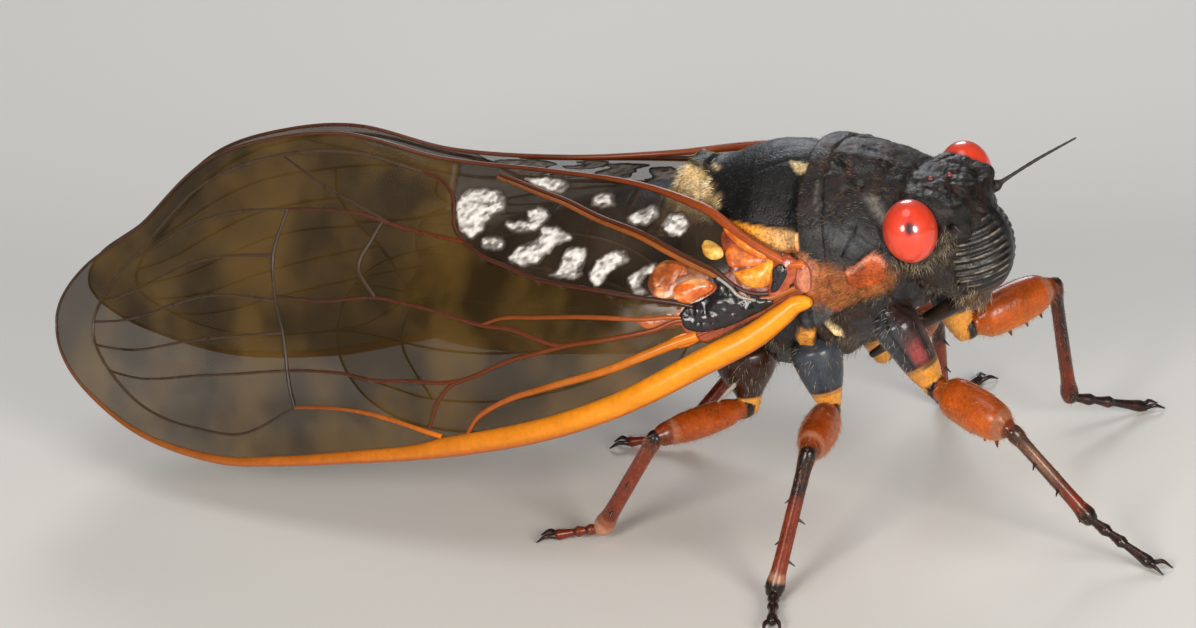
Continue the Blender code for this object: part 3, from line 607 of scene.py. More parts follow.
def thorax_relief(x, t):
    """Height in mm of plates, grooves and collar on the thorax."""
    back = 1 - step(100, 108, t)
    # the collar behind the pronotum and the step down to the mesonotum
    d = .03 * step(-6.5, -6.7, x) * (1 - step(-7.36, -7.46, x)) * back
    d -= .07 * hump(x, -6.5 + t * .003, .05) * back
    d -= .2 * step(-7.38, -7.5, x) * (1 - step(-7.6, -9.8, x)) * (1 - step(85, 110, t))
    # slanting grooves of the pronotum, its middle line and two low bosses
    for line in ((-4.2, 42, -6.3, 16), (-4.0, 78, -6.3, 48), (-5.0, 60, -5.6, 75),
                 (-4.9, 30, -5.6, 38)):
        d -= .13 * hump(line_dist(x, t, *line), 0, .12)
    d -= .06 * hump(line_dist(x, t, -4.2, 0, -6.2, 0), 0, .09)
    d += .08 * hump(line_dist(x, t, -4.4, 8, -6.2, 10), 0, .2)
    d += .09 * hump(line_dist(x, t, -6.3, 30, -6.35, 36), 0, .2)
    # faint furrows of the mesonotum
    for line in ((-7.7, 14, -9.6, 26), (-7.7, 46, -11.4, 34)):
        d -= .04 * hump(line_dist(x, t, *line), 0, .09)
    # the neck side falls in, then the scutellum's groove, knob and cross ridges
    d -= .2 * step(103, 109, t) * step(-3.9, -4.3, x) * (1 - step(-7.2, -7.5, x))
    d -= .16 * hump(x, -12.3, .12) * (1 - step(60, 80, t))
    d += .62 * knob(x, t)
    for line in ((-12.9, 10, -12.5, 34), (-13.1, 10, -13.7, 34)):
        d += .14 * hump(line_dist(x, t, *line), 0, .3)
    # raised plates
    for outline, high, soft in ((STRIP, .12, .08), (PLATE, .2, .12), (AMBER, .2, .1),
                                (SLATE, .16, .12), (SLIVER, .16, .07)):
        d += high * inside(x, t, outline, soft)
    # folds between the side plates and along the belly
    for x0 in (-7.45, -10.4):
        d -= .2 * hump(line_dist(x, t, x0, 103, x0 - .8, 150), 0, .14)
    d -= .16 * hump(line_dist(x, t, -4.2, 112, -7.4, 118), 0, .14)
    return d - .1 * hump(t, 178, 6)


def thorax_swell(p):
    """Fine wrinkles of the thorax, deeper on its sides."""
    x, z = p[..., 0], p[..., 2]
    front = step(-7.6, -7.2, x) * step(.6, 1.2, z)
    side = step(1.0, .2, z)
    return front * .035 * ripple(p, .5) + side * .12 * ripple(p + 7, 1.1, 2) \
        + .014 * ripple(p, .22, 2) + (1 - side) * .02 * ripple(p, 1.3, 2)


def head_relief(x, t):
    """Grooves of the crown and the hollow of the cheeks."""
    d = -.07 * hump(t, 0, 5) * step(-1.4, -1.9, x)           # the line between the eyes
    for line in ((-2.0, 6, -1.3, 30), (-2.6, 26, -1.7, 34), (-3.1, 20, -2.7, 44)):
        d -= .1 * hump(line_dist(x, t, *line), 0, .1)
    d += .1 * hump(line_dist(x, t, -1.9, 14, -1.25, 14), 0, .22)
    # the cheeks fall in so that the face stands out of them
    return d - .5 * step(-2.45, -1.85, x) * step(84, 100, t) * (1 - step(140, 155, t))


def head_swell(p):
    """Rims round the eyes, brow ridges and the rough crown."""
    rim = np.hypot((p[..., 0] - EYE_AT[0]) / EYE_R[0],
                   (p[..., 2] - EYE_AT[2]) / EYE_R[2])
    d = .16 * hump(rim, 1.04, .11) * step(2.0, 2.4, np.abs(p[..., 1]))
    for a, b, high, wide in (
            ((-2.95, 1.8, 2.3), (-1.6, 1.95, 1.85), .5, .6),      # brow over the eye
            ((-1.6, 2.1, 1.8), (-1.1, 1.3, 1.85), .2, .28),       # shelf over the feeler
            ((-2.1, 2.0, -.9), (-2.0, 1.8, -1.4), .14, .5),       # cheek
            ((-2.75, 2.5, 0), (-2.5, 1.8, -1.7), -.16, .16),      # groove behind the cheek
            ((-1.5, 2.0, 1.2), (-1.5, 1.9, -.9), -.1, .14)):      # groove by the face
        d += high * hump(rod_dist(p, a, b), 0, wide)
    return d + .06 * ripple(p, .4) + .02 * ripple(p, .16, 2)


def abdomen_relief(x, t):
    """A step at the front of each ring of the abdomen."""
    d = np.zeros_like(x)
    for a, b in zip(SEGMENTS, SEGMENTS[1:]):
        u = (x - a) / (b - a)
        on = (u >= 0) & (u < 1)
        d = np.where(on, -.17 * (1 - step(.0, .14, u)) + .03 * step(.5, .95, u), d)
    return d - .08 * hump(t, 118, 3)


def abdomen_swell(p):
    """Faint unevenness of the abdomen."""
    return .02 * ripple(p, .8) + .008 * ripple(p, .25, 2)


def capped(rings, ends):
    """Rings drawn in at both ends by (forward, scale, up) steps."""
    front = [rings[0] * [1, s, s] + [f, 0, u] for f, s, u in ends[0]]
    rear = [rings[-1] * [1, s, s] + [f, 0, u] for f, s, u in ends[1]]
    return np.concatenate([front, rings, rear] if rear else [front, rings])


SKIN_STEP, HEAD_STEP = .065, .045                  # mm between rings of the skin
THORAX_TURN, HEAD_TURN, TAIL_TURN = 200, 180, 150  # points round each ring


def build_skin():
    """One closed skin of thorax, head and abdomen, joined so that no seam shows."""
    thorax = round_body(THORAX, np.arange(-3.75, -14.01, -SKIN_STEP), THORAX_TURN,
                        thorax_relief)
    thorax = capped(swell(thorax, thorax_swell),
                    ([(.42, .8, .1), (.36, .89, .06), (.2, .97, .02)],
                     [(-.12, .97, 0), (-.5, .9, -.02)]))
    head = round_body(HEAD, np.arange(-3.45, -.84, HEAD_STEP), HEAD_TURN, head_relief)
    head = capped(swell(head, head_swell),
                  ([(-.5, .9, .08), (-.15, .98, .02)],
                   [(.1, .9, .05), (.2, .7, .15), (.26, .4, .3)]))
    xs = np.concatenate([np.linspace(a, b, 22, endpoint=False)
                         for a, b in zip(SEGMENTS, SEGMENTS[1:])] + [[-28.]])
    abdomen = round_body(ABDOMEN, xs, TAIL_TURN, abdomen_relief)
    abdomen = capped(swell(abdomen, abdomen_swell),
                     ([(.6, .9, 0)], [(-.12, .85, -.255), (-.22, .5, -.85)]))
    parts = [piece(n, *shell(r), placed=False) for n, r in
             (("body_skin", thorax), ("head_part", head), ("tail_part", abdomen))]
    unite(parts[0], parts[1:])
    return parts[0]


# sheen is a painted highlight; grey_plate_and_sheen is the side plates' own grey and also a
# painted sheen
INK = {k: linear(v) for k, v in {
    "black": "#0F0D0C", "brown": "#2A201A", "red_brown": "#331C15", "under": "#2C1D14",
    "slate": "#2A2D32", "grey_plate_and_sheen": "#494C51", "sheen": "#756F6A", "pleura": "#8E4A22",
    "orange": "#C44E12", "plate": "#A8460A", "rose": "#D8886A", "amber": "#D08A34",
    "yellow": "#EE9A22", "cream": "#EED09A", "tan": "#D0B07A", "band": "#B85A1E",
    "rust": "#7A3A16"}.items()}


def turn_of(p):
    """Degrees from the top round the body's section at each place."""
    rows = [(r[0], *r[1:]) for r in HEAD + THORAX + ABDOMEN]
    half, top, bottom, wide = eased(rows, p[:, 0])[:, 1:].T
    up = p[:, 2] - wide
    return np.degrees(np.arctan2(np.abs(p[:, 1]) / half,
                                 up / np.where(up > 0, top - wide, wide - bottom)))


def paint_body(p):
    """Colour of the skin at places in the body frame."""
    x, y, z = p.T
    t = turn_of(p)
    mottle = step(-.1, .3, ripple(p, .6, 4))
    fine = ripple(p, .35, 2)
    front = step(-7.5, -7.2, x)
    low = step(106, 116, t + fine * 5) * step(-3.5, -4., x) * (1 - step(-14., -14.6, x))
    plate = inside(x, t, PLATE, .07, fine * .05)
    strip = inside(x, t, STRIP, .07, fine * .03)
    gold = inside(x, t, GOLD, .25, fine * .3)
    layers = [
        ("brown", mottle * .7 * front * (1 - step(45, 70, t))),
        ("red_brown", .6 * step(.1, .4, ripple(p + 9, .4, 4)) * front
         * (1 - step(30, 60, t))),
        ("sheen", inside(x, t, SHEEN, .22, fine * .12)),
        # painted sheen: the grey-blue gleam on the side of the pronotum
        ("grey_plate_and_sheen", .6 * inside(x, t, BLUE, .35, fine * .1)),
        ("sheen", hump(line_dist(x, t, -6.65, 34, -6.42, 62), 0, .09) * .5
         * step(-.4, .3, fine)),
        ("under", low), ("slate", low * step(-.1, .2, ripple(p + 3, 1.4)) * .9),
        ("pleura", inside(x, t, FUZZ, .25, fine * .2)),
        ("rose", inside(x, t, HINGE, .25, fine * .15) * .8),
        ("plate", plate),
        ("rose", plate * (1 - inside(x, t - 3.4, PLATE, .1)) * (1 - step(86, 90, t))),
        ("yellow", strip), ("cream", strip * step(-9.6, -7.6, x) * .62),
        ("orange", strip * (1 - inside(x, t + 2.2, STRIP, .07)) * .8),
        ("amber", inside(x, t, AMBER, .08)), ("cream", inside(x, t, SLIVER, .06) * .85),
        ("grey_plate_and_sheen", inside(x, t, SLATE, .1, fine * .1) * .8),
        ("brown", step(-3.5, -3.3, x) * step(60, 90, t) * .7),
        ("cream", .95 * inside(x, t, MARK, .07, fine * .04)),
        ("cream", .8 * hump(line_dist(x, t, -12.1, 10, -11.7, 15), 0, .13)),
        ("tan", gold), ("black", step(.1, .4, bare_end(x, t)) * gold)]
    for a, b in zip(SEGMENTS, SEGMENTS[1:]):         # rust and amber hind edges
        u = (x - a) / (b - a)
        on = (u >= 0) & (u < 1)
        layers += [("rust", on * step(.8, .95, u) * .85),
                   ("band", on * step(112, 122, t) * step(.35, .6, u))]
    c = np.tile(INK["black"], (len(p), 1))
    for ink, mask in layers:
        c = c * (1 - mask[:, None]) + INK[ink] * mask[:, None]
    return c


skin = build_skin()
skin_at = unplace(coords(skin))
store(skin, "tint", paint_body(skin_at))
finish_with(skin, body_cuticle,
            ("head", "pronotum", "mesonotum", "scutellum", "sternum", "abdomen"))


# ---- eyes, face, beak, feelers ----------------------------------------------------
def globe(at, radii, cols, rows, axis=(0, 0, 1), shape=None):
    """Closed ellipsoid with its poles on an axis."""
    v = np.linspace(0, math.pi, rows)[1:-1, None]
    u = np.linspace(0, 2 * math.pi, cols, endpoint=False)[None, :]
    unit = np.stack([np.sin(v) * np.cos(u), np.sin(v) * np.sin(u),
                     np.cos(v) + 0 * u], 2)
    turn = np.array(Vector((0, 0, 1)).rotation_difference(Vector(axis)).to_matrix())
    unit = unit @ turn.T
    if shape:
        unit = unit * (1 + shape(unit))[..., None]
    rings = np.array(at) + unit * np.array(radii)
    return shell(rings)


SIDES_OF_BODY = ((-1, "right"), (1, "left"))
EYE_RED, EYE_RIM = "#E43C16", "#8A1C0C"
EYE_CORE = (((12, 30), "#D63018"), ((6, 15), "#4A0818"))   # dark spot: degrees, ink
GAZE = (.413, .775, .36)                           # toward the lens, where the spot shows

for side, word in SIDES_OF_BODY:
    at = (EYE_AT[0], side * EYE_AT[1], EYE_AT[2])
    eye = piece("eye_ball_" + word, *globe(at, EYE_R, 96, 64, (0, side, 0)), placed=False)
    out = (unplace(coords(eye)) - np.array(at)) / np.array(EYE_R)
    gaze = np.array(GAZE) * [1, side, 1]
    angle = np.degrees(np.arccos(np.clip(out @ gaze / np.linalg.norm(gaze), -1, 1)))
    tint = np.tile(linear(EYE_RED), (len(out), 1))
    for wide, ink in EYE_CORE:
        core = (1 - step(*wide, angle))[:, None]
        tint = tint * (1 - core) + linear(ink) * core
    rim = step(116, 128, np.degrees(np.arccos(np.clip(out[:, 1] * side, -1, 1))))[:, None]
    tint = tint * (1 - rim) + linear(EYE_RIM) * rim
    store(eye, "tint", tint)
    finish_with(eye, eye_lens, ("eye_" + word,))


FACE_RIDGES = 6.6              # ridges in half the height of the face


def ridge_wave(unit):
    """1 in the grooves and 0 on the crests that cross the sides of the face."""
    slant = unit[..., 2] * FACE_RIDGES + np.abs(unit[..., 1]) * .5
    return .5 + .5 * np.cos(slant * 2 * math.pi)


def face_shape(unit):
    """Cross ridges on each side of the swollen face, smooth along its middle."""
    x, y, z = unit[..., 0], unit[..., 1], unit[..., 2]
    side = step(.1, .24, np.abs(y)) * step(-.7, -.4, x) * (1 - step(.8, .93, np.abs(z)))
    keel = hump(y, 0, .1) * step(-.2, .2, x)
    uneven = .75 + .5 * ripple(unit, .25, 2)
    return -.05 * ridge_wave(unit) ** 1.5 * side * uneven + .014 * keel \
        + .006 * ripple(unit, .12, 2)


FACE_R = (NOSE_R[0], NOSE_R[1] * 1.15, NOSE_R[2])
face = piece("swollen_face", *globe(NOSE_AT, FACE_R, 120, 220, (0, 0, 1), face_shape),
             placed=False)
chin = piece("chin", *globe((-2.15, 0, -2.2), (.85, .72, .95), 40, 30), placed=False)
unite(face, [chin])
fp = (unplace(coords(face)) - np.array(NOSE_AT)) / np.array(FACE_R)
# painted highlight on the crests of the face's ridges, broken up at random
highlight_breaks = .25 + 1.1 * step(-.1, .45, ripple(fp * [1, 1, 2], .22, 2))
ridge_highlight = .85 * step(.78, .99, 1 - ridge_wave(fp)) * step(.15, .28, np.abs(fp[:, 1])) \
    * step(-.6, -.3, fp[:, 0]) * highlight_breaks                # painted highlights: pale lines along the ridge crests
ridge_highlight = np.clip(ridge_highlight, 0, 1)[:, None] * (1 - step(.5, .75, np.abs(fp[:, 2])))[:, None]
low = step(-.6, -.95, fp[:, 2])[:, None] * .7
tint = linear("#0E0B0A") * (1 - ridge_highlight) + linear("#8A7C6C") * ridge_highlight
store(face, "tint", tint * (1 - low) + linear("#5A3A20") * low)
finish_with(face, face_cuticle, ("clypeus",))

for k, (x0, y0) in enumerate(((-2.05, 0.), (-2.6, .62), (-2.6, -.62))):
    half, top, bottom, wide = eased(HEAD, [x0])[0, 1:]
    at = (x0, y0, wide + (top - wide) * math.sqrt(1 - (y0 / half) ** 2) - .04)
    stone = piece("ocellus_%d" % k, *globe(at, (.13, .13, .12), 24, 16), placed=False)
    store(stone, "tint", np.tile(linear("#7A2814"), (len(stone.data.vertices), 1)))
    finish_with(stone, eye_lens)


def frame_along(points):
    """Directions along a path with two cross axes that don't twist."""
    d = np.gradient(points, axis=0)
    d /= np.linalg.norm(d, axis=1)[:, None]
    side = np.cross(d[0], (0, 0, 1))
    if np.linalg.norm(side) < .2:
        side = np.cross(d[0], (0, 1, 0))
    sides = []
    for k in range(len(points)):
        side = side - d[k] * (side @ d[k])
        side = side / np.linalg.norm(side)
        sides.append(side)
    sides = np.array(sides)
    return d, sides, np.cross(sides, d)


def limb(points, radii, count=20, flat=1.):
    """Closed rod through points with a radius at each, rounded at both ends."""
    points, radii = np.asarray(points, float), np.asarray(radii, float)
    d, side, up = frame_along(points)
    a = np.linspace(0, 2 * math.pi, count, endpoint=False)
    rings = []
    for s, k in ((.35, 0), (.75, 0), (.94, 0)):
        rings.append((points[k] - d[k] * radii[k] * .8 * math.sqrt(1 - s * s), s, k))
    rings += [(p, 1., k) for k, p in enumerate(points)]
    for s, k in ((.94, -1), (.75, -1), (.35, -1)):
        rings.append((points[k] + d[k] * radii[k] * .8 * math.sqrt(1 - s * s), s, k))
    out = [p + (np.outer(np.cos(a), side[k]) * flat + np.outer(np.sin(a), up[k]))
           * radii[k] * s for p, s, k in rings]
    return shell(out)


def resample(points, n):
    """Points spread evenly on an eased curve through the given ones."""
    points = np.asarray(points, float)
    far = np.concatenate([[0], np.cumsum(np.linalg.norm(np.diff(points, axis=0), axis=1))])
    rows = np.concatenate([far[:, None], points], 1)
    return eased(rows, np.linspace(0, far[-1], n))[:, 1:]


beak_path = resample([(-2.3, 0, -2.3), (-2.6, 0, -2.65), (-3.3, 0, -3.0),
                      (-4.4, 0, -3.5), (-7.2, 0, -4.95)], 40)
beak = piece("beak", *limb(beak_path, eased([(0, .42), (.2, .36), (.6, .28), (1, .16)],
                                            np.linspace(0, 1, 40))[:, 1]), placed=False)
store(beak, "tint", np.tile(linear("#2A1A12"), (len(beak.data.vertices), 1)))
finish_with(beak, face_cuticle, ("rostrum",))

for side, word in SIDES_OF_BODY:
    root, tip = np.array((-1.75, side * 1.5, 1.05)), np.array(FEELER_TIP[word])
    path = resample([root, root + (tip - root) * .2 + [0, 0, .06],
                     root + (tip - root) * .6 + [0, 0, .09], tip], 60)
    u = np.linspace(0, 1, 60)
    thick = eased([(0, .27), (.14, .22), (.2, .24), (.26, .1), (.6, .07), (1, .04)],
                  u)[:, 1]
    thick = thick * (1 - .12 * (np.cos(u * 2 * math.pi * 14) > .6) * (u > .35))
    feeler = piece("feeler_" + word, *limb(path, thick, 14), placed=False)
    finish_with(feeler, feeler_cuticle, ("antenna_" + word,))


# ---- legs -------------------------------------------------------------------------
LEG_INK = {k: linear(v) for k, v in {
    "coxa": "#363C44", "rose": "#8E3430", "amber": "#E2983A", "orange": "#BA5206",
    "deep": "#7E3008", "plum": "#2A1614", "red": "#74280F", "dark": "#1C1310",
    "honey": "#C8700F", "pale": "#B07A5C", "seam": "#32190F",
    "ash": "#958E80"}.items()}
KIND = {   # radii in mm of coxa, trochanter, femur, knee, shin and foot
    "fore": (.95, .55, .94, .42, .3, .2), "mid": (1.03, .5, .83, .42, .32, .19),
    "hind": (1.3, .5, .66, .42, .34, .19)}

SIDES = {"coxa": 44, "femur": 44, "tibia": 18, "tarsus": 18}   # points round a segment


def leg_parts(name, joints):
    """Segments of a leg: path, radii and the colours along each."""
    kind = name.split("_")[0]
    coxa, tro_r, thick, knee_r, shin, foot = KIND[kind]
    hip, tro, knee, heel, claw = turned(joints)
    claw[2], heel[2] = .24, max(heel[2], .36)      # the foot lies just on the floor
    u = np.linspace(0, 1, 34)[:, None]
    line = lambda a, b: a + (b - a) * u
    r = lambda rows: eased(rows, u[:, 0])[:, 1]
    foot_dir = claw - heel
    marks = [0., .3, .55, 1.]                      # where the foot's three parts meet
    parts = [
        ("coxa", line(hip, hip + (tro - hip) * .93),
         r([(0, coxa * .55), (.14, coxa), (.5, coxa * .9), (.85, tro_r * 1.25),
            (1, tro_r * .95)])),
        ("femur", line(tro, knee - (knee - tro) * .02),
         r([(0, tro_r * .9), (.08, tro_r), (.13, tro_r * .88), (.26, thick * .9),
            (.5, thick), (.7, thick * .96), (.86, thick * .8), (.95, knee_r * 1.1),
            (1, knee_r * .8)])),
        ("tibia", line(knee, heel),
         r([(0, knee_r * .8), (.05, knee_r * .85), (.14, shin * .95), (.5, shin * .95),
            (.85, shin * 1.02), (.96, shin * 1.3), (1, shin * 1.1)])),
    ]
    for k in range(3):
        a, b = heel + foot_dir * (marks[k] + .015), heel + foot_dir * marks[k + 1]
        parts.append(("tarsus", line(a, b), r([(0, foot * .75), (.5, foot),
                                               (.85, foot * 1.25), (1, foot)])))
    ahead = foot_dir * [1, 1, 0]
    ahead /= np.linalg.norm(ahead)
    across = np.array((-ahead[1], ahead[0], 0))
    for hand in (-1, 1):
        a = claw + across * hand * .06 - ahead * .1
        b = claw + ahead * .75 + across * hand * .34
        a[2], b[2] = .22, .07
        hook = resample([a, (a + b) / 2 + across * hand * .08 + [0, 0, .16], b], 34)
        parts.append(("claw", hook, r([(0, .13), (.4, .1), (1, .03)])))
    axis = (knee - tro) / np.linalg.norm(knee - tro)
    if kind == "fore":
        for share, tall in ((.42, .42), (.6, .38), (.76, .32)):
            at = tro + (knee - tro) * share
            down = np.array((0, 0, -1.)) + axis * .5
            down = down - axis * (down @ axis) * .6
            down /= np.linalg.norm(down)
            parts.append(("spine", line(at + down * thick * .5,
                                        at + down * (thick * .9 + tall)),
                          r([(0, .2), (.5, .12), (1, .03)])))
    if kind == "hind":                            # the thorn on its hip
        hand = np.sign(joints[0][1])
        a, b = turned([(-11.3, 3.2 * hand, -4.1), (-12.6, 3.95 * hand, -5.1)])
        parts.append(("thorn", line(a, b), r([(0, .13), (.6, .1), (1, .04)])))
    for k in range(5):                            # small spurs along the shin
        at = knee + (heel - knee) * (.3 + .15 * k)
        turn = across * (1 if k % 2 else -1) + (heel - knee) / 9 - [0, 0, .1]
        turn /= np.linalg.norm(turn)
        parts.append(("spur", line(at + turn * shin * .5, at + turn * (shin + .3)),
                      r([(0, .09), (1, .02)])))
    return parts


def build_leg(name, joints):
    """One leg from hip to claws, its segments joined."""
    kind = name.split("_")[0]
    parts = leg_parts(name, joints)
    made = []
    for k, (what, path, radii) in enumerate(parts):
        count = SIDES.get(what, 10)
        flat = .86 if what == "femur" else 1.
        verts, faces = limb(path, radii, count, flat)
        verts[:, 2] = np.maximum(verts[:, 2], .0)
        made.append(piece("leg_" + name if not k else "leg_bit", (verts + SHIFT) * MM,
                          faces))
    unite(made[0], made[1:])
    leg = made[0]
    at = coords(leg) / MM - SHIFT
    best = np.full(len(at), 1e9)
    tint = np.zeros((len(at), 3))
    for what, path, radii in parts:
        gap = np.linalg.norm(at[:, None, :] - path[None, ::2, :], axis=2) - radii[None, ::2]
        near, u = gap.min(1), gap.argmin(1) / (len(path[::2]) - 1)
        out = at - path[::2][gap.argmin(1)]
        axis = (path[-1] - path[0]) / np.linalg.norm(path[-1] - path[0])
        out -= np.outer(out @ axis, axis)
        out /= np.linalg.norm(out, axis=1)[:, None] + 1e-9
        col = leg_colour(kind, what, u, out * [1, 1 if "left" in name else -1, 1])
        on = near < best
        best[on], tint[on] = near[on], col[on]
    store(leg, "tint", tint)
    return finish_with(leg, leg_cuticle,
                       ("femur_" + name, "tibia_" + name, "tarsus_" + name))


def leg_colour(kind, what, u, out):
    """Colour along a segment of a leg: u from body to foot, out away from its axis."""
    def along(*stops):
        return np.stack([np.interp(u, [s[0] for s in stops],
                                   [LEG_INK[s[1]][c] for s in stops]) for c in range(3)], 1)

    def laid(c, mask, ink):
        return c * (1 - mask[:, None]) + LEG_INK[ink] * mask[:, None]

    outer = out @ np.array((.563, .768, .307))
    if what == "coxa":
        skin_ink = "seam" if kind == "hind" else "coxa"
        c = along((0, skin_ink), (.7, skin_ink), (.77, "amber"), (1, "amber"))
        if kind == "fore":
            c = laid(c, step(.2, .7, out[:, 0]) * (1 - step(.74, .8, u)) * .8, "seam")
            c = laid(c, step(.86, .99, outer) * step(.25, .5, u)
                     * (1 - step(.68, .76, u)) * .85, "rose")
            c = laid(c, hump(outer, .84, .05) * (1 - step(.7, .76, u)), "dark")
            c = laid(c, hump(u, .9, .08) * step(.1, .6, -out[:, 0]) * .5, "orange")
        return laid(c, hump(u, .71, .03) * .9, "seam")
    if what == "femur":
        c = along((0, "amber"), (.05, "dark"), (.09, "seam"), (.14, "orange"),
                  (.5, "orange"), (.82, "orange"), (.9, "deep"), (.97, "dark"), (1, "dark"))
        c = laid(c, step(.2, .9, out[:, 2]) * .55 * step(.12, .2, u), "deep")
        c = laid(c, step(.1, .9, -out[:, 2]) * .6 * step(.12, .2, u)
                 * (1 - step(.8, .9, u)), "honey" if kind == "fore" else "orange")
        if kind != "fore":
            c = laid(c, step(.12, .2, u) * .45, "deep")
        return laid(c, hump(u, .88, .03) * .5, "pale")
    if what == "tibia":
        if kind == "fore":
            c = along((0, "seam"), (.1, "dark"), (.5, "plum"), (.85, "red"), (1, "dark"))
            # painted highlight: a pale patch on the outer, forward side of the fore shin
            c = laid(c, step(.5, .85, outer) * hump(u, .35, .22) * .5, "pale")
            return laid(c, step(.3, .8, -outer) * .5, "red")
        if kind == "mid":
            return along((0, "dark"), (.28, "plum"), (.42, "red"), (.88, "red"),
                         (.93, "pale"), (.97, "dark"), (1, "dark"))
        return along((0, "dark"), (.12, "red"), (.5, "red"), (.9, "red"), (1, "pale"))
    if what == "thorn":
        return along((0, "ash"), (1, "ash"))
    if what == "spine":
        return along((0, "orange"), (.5, "deep"), (1, "dark"))
    if what == "tarsus" and kind == "hind":
        return along((0, "red"), (.8, "red"), (1, "dark"))
    return along((0, "dark"), (.6, "seam"), (1, "dark"))


legs = {name: build_leg(name, joints) for name, joints in LEGS.items()}

# ---- wings ------------------------------------------------------------------------
WING_ROWS = [(math.asin(r[0]) * 2 / math.pi, *r[1:]) for r in WING]


def wing_rows(s):
    """Edges and camber of the folded wing at places along it."""
    return eased(WING_ROWS, np.arcsin(np.clip(s, 0, 1)) * 2 / math.pi)[:, 1:].T


def wing_point(s, q, side, lift=0.):
    """Points of the folded wing in the body frame, lifted off its middle in mm."""
    s, q = np.asarray(s, float), np.asarray(q, float)
    yc, zc, yh, zh, camber = wing_rows(s)
    dy, dz = yh - yc, zh - zc
    far = np.maximum(np.hypot(dy, dz), 1e-6)
    ny, nz = np.abs(dz) / far, np.abs(dy) / far
    bend = camber * 4 * q * (1 - q) + lift
    return np.stack([WING_ROOT - WING_LONG * s, side * (yc + dy * q + ny * bend),
                     zc + dz * q + nz * bend], 1)


def wing_width(s):
    """Width in mm of the wing laid flat."""
    yc, zc, yh, zh, camber = wing_rows(s)
    chord = np.maximum(np.hypot(yh - yc, zh - zc), .02)
    return chord + 2.67 * camber * camber / chord


def to_plan(sq):
    """Places (s, q) on the wing as mm on the wing laid flat."""
    sq = np.asarray(sq, float)
    return np.stack([WING_LONG * sq[:, 0], (sq[:, 1] - .5) * wing_width(sq[:, 0])], 1)


def from_plan(p):
    """Mm on the flat wing back to places (s, q)."""
    s = np.clip(p[:, 0] / WING_LONG, -.04, .9995)
    return s, np.clip(p[:, 1] / wing_width(s) + .5, -.05, 1.05)


def wing_sheet(s, q, tris, side, low, high):
    """Closed sheet over the wing between two lifts: faces on both sides and a rim."""
    n = len(s)
    verts = np.concatenate([wing_point(s, q, side, low), wing_point(s, q, side, high)])
    used, faces = set(), []
    for t in tris:
        faces += [tuple(t), tuple(n + v for v in reversed(t))]
        for a, b in zip(t, t[1:] + t[:1]):
            used.add((a, b))
    for a, b in used:
        if (b, a) not in used:
            faces.append((a, b, n + b, n + a))
    return verts, faces


def forewing_film(name, side, clear):
    """The darker-tinted part of the membrane, partly painted shade, or the clear part
    behind the dark vein.
    """
    cols, rows = 150, 44
    s = np.sin(np.linspace(0, 1, cols + 1) * math.pi / 2 * .99)
    s, q = [g.ravel() for g in np.meshgrid(s, np.linspace(0, 1, rows + 1), indexing="ij")]
    w = rows + 1
    dark = np.array(next(v[3] for v in VEINS if v[0] == "dark"))
    quads = []
    for i in range(cols):
        for j in range(rows):
            along, over_chord = (s[i * w] + s[(i + 1) * w]) / 2, (2 * j + 1) / rows / 2
            behind = along < DARK_VEIN_END and over_chord > np.interp(along, *dark.T)
            if behind == clear:
                a, b = i * w + j, (i + 1) * w + j
                quads.append((a, b, b + 1, a + 1))
    plan = to_plan(np.stack([s, q], 1))
    wave = WAVE * ripple(np.stack([plan[:, 0] * .7, plan[:, 1], 0 * s], 1), 1.3, 2)
    wave *= step(0, .05, q) * step(1, .95, q) * step(.02, .1, s) * step(1, .97, s)
    return gathered(name, [wing_sheet(s, q, quads, side, wave - FILM / 2, wave + FILM / 2)])


def new_tree(name, inputs, output):
    """An empty node tree with its named inputs and one geometry output."""
    tree = bpy.data.node_groups.new(name, "GeometryNodeTree")
    for label, kind in inputs.items():
        tree.interface.new_socket(label, in_out="INPUT", socket_type="NodeSocket" + kind)
    tree.interface.new_socket(output, in_out="OUTPUT", socket_type="NodeSocketGeometry")
    return tree, add(tree, "NodeGroupInput").outputs


def rods_tree():
    """Round rods along the edges of a mesh, as thick as its radius attribute says."""
    tree, given = new_tree("vein_rods", {"Edges": "Geometry", "Sides": "Int",
                                         "Finish": "Material"}, "Rods")
    ring = add(tree, "GeometryNodeCurvePrimitiveCircle",
               {"Resolution": given["Sides"], "Radius": 1.})
    size = add(tree, "GeometryNodeInputNamedAttribute", {"Name": "radius"},
               data_type="FLOAT")
    path = add(tree, "GeometryNodeMeshToCurve", {"Mesh": given["Edges"]})
    rods = add(tree, "GeometryNodeCurveToMesh",
               {"Curve": path, "Profile Curve": ring, "Scale": size, "Fill Caps": True})
    soft = add(tree, "GeometryNodeSetShadeSmooth", {"Geometry": rods})
    real = add(tree, "GeometryNodeRealizeInstances", {"Geometry": soft})
    done = add(tree, "GeometryNodeSetMaterial",
               {"Geometry": real, "Material": given["Finish"]})
    add(tree, "NodeGroupOutput", {"Rods": done})
    return tree


def run_tree(name, mesh, tree, values):
    """A plain mesh object from a node tree run on a mesh."""
    obj = bpy.data.objects.new(name, mesh)
    bpy.context.scene.collection.objects.link(obj)
    mod = obj.modifiers.new("grow", "NODES")
    mod.node_group = tree
    keys = {i.name: i.identifier for i in tree.interface.items_tree
            if i.item_type == "SOCKET" and i.in_out == "INPUT"}
    for key, value in values.items():
        mod[keys[key]] = value
    deps = bpy.context.evaluated_depsgraph_get()
    real = bpy.data.meshes.new_from_object(obj.evaluated_get(deps))
    obj.modifiers.clear()
    obj.data = real
    return obj


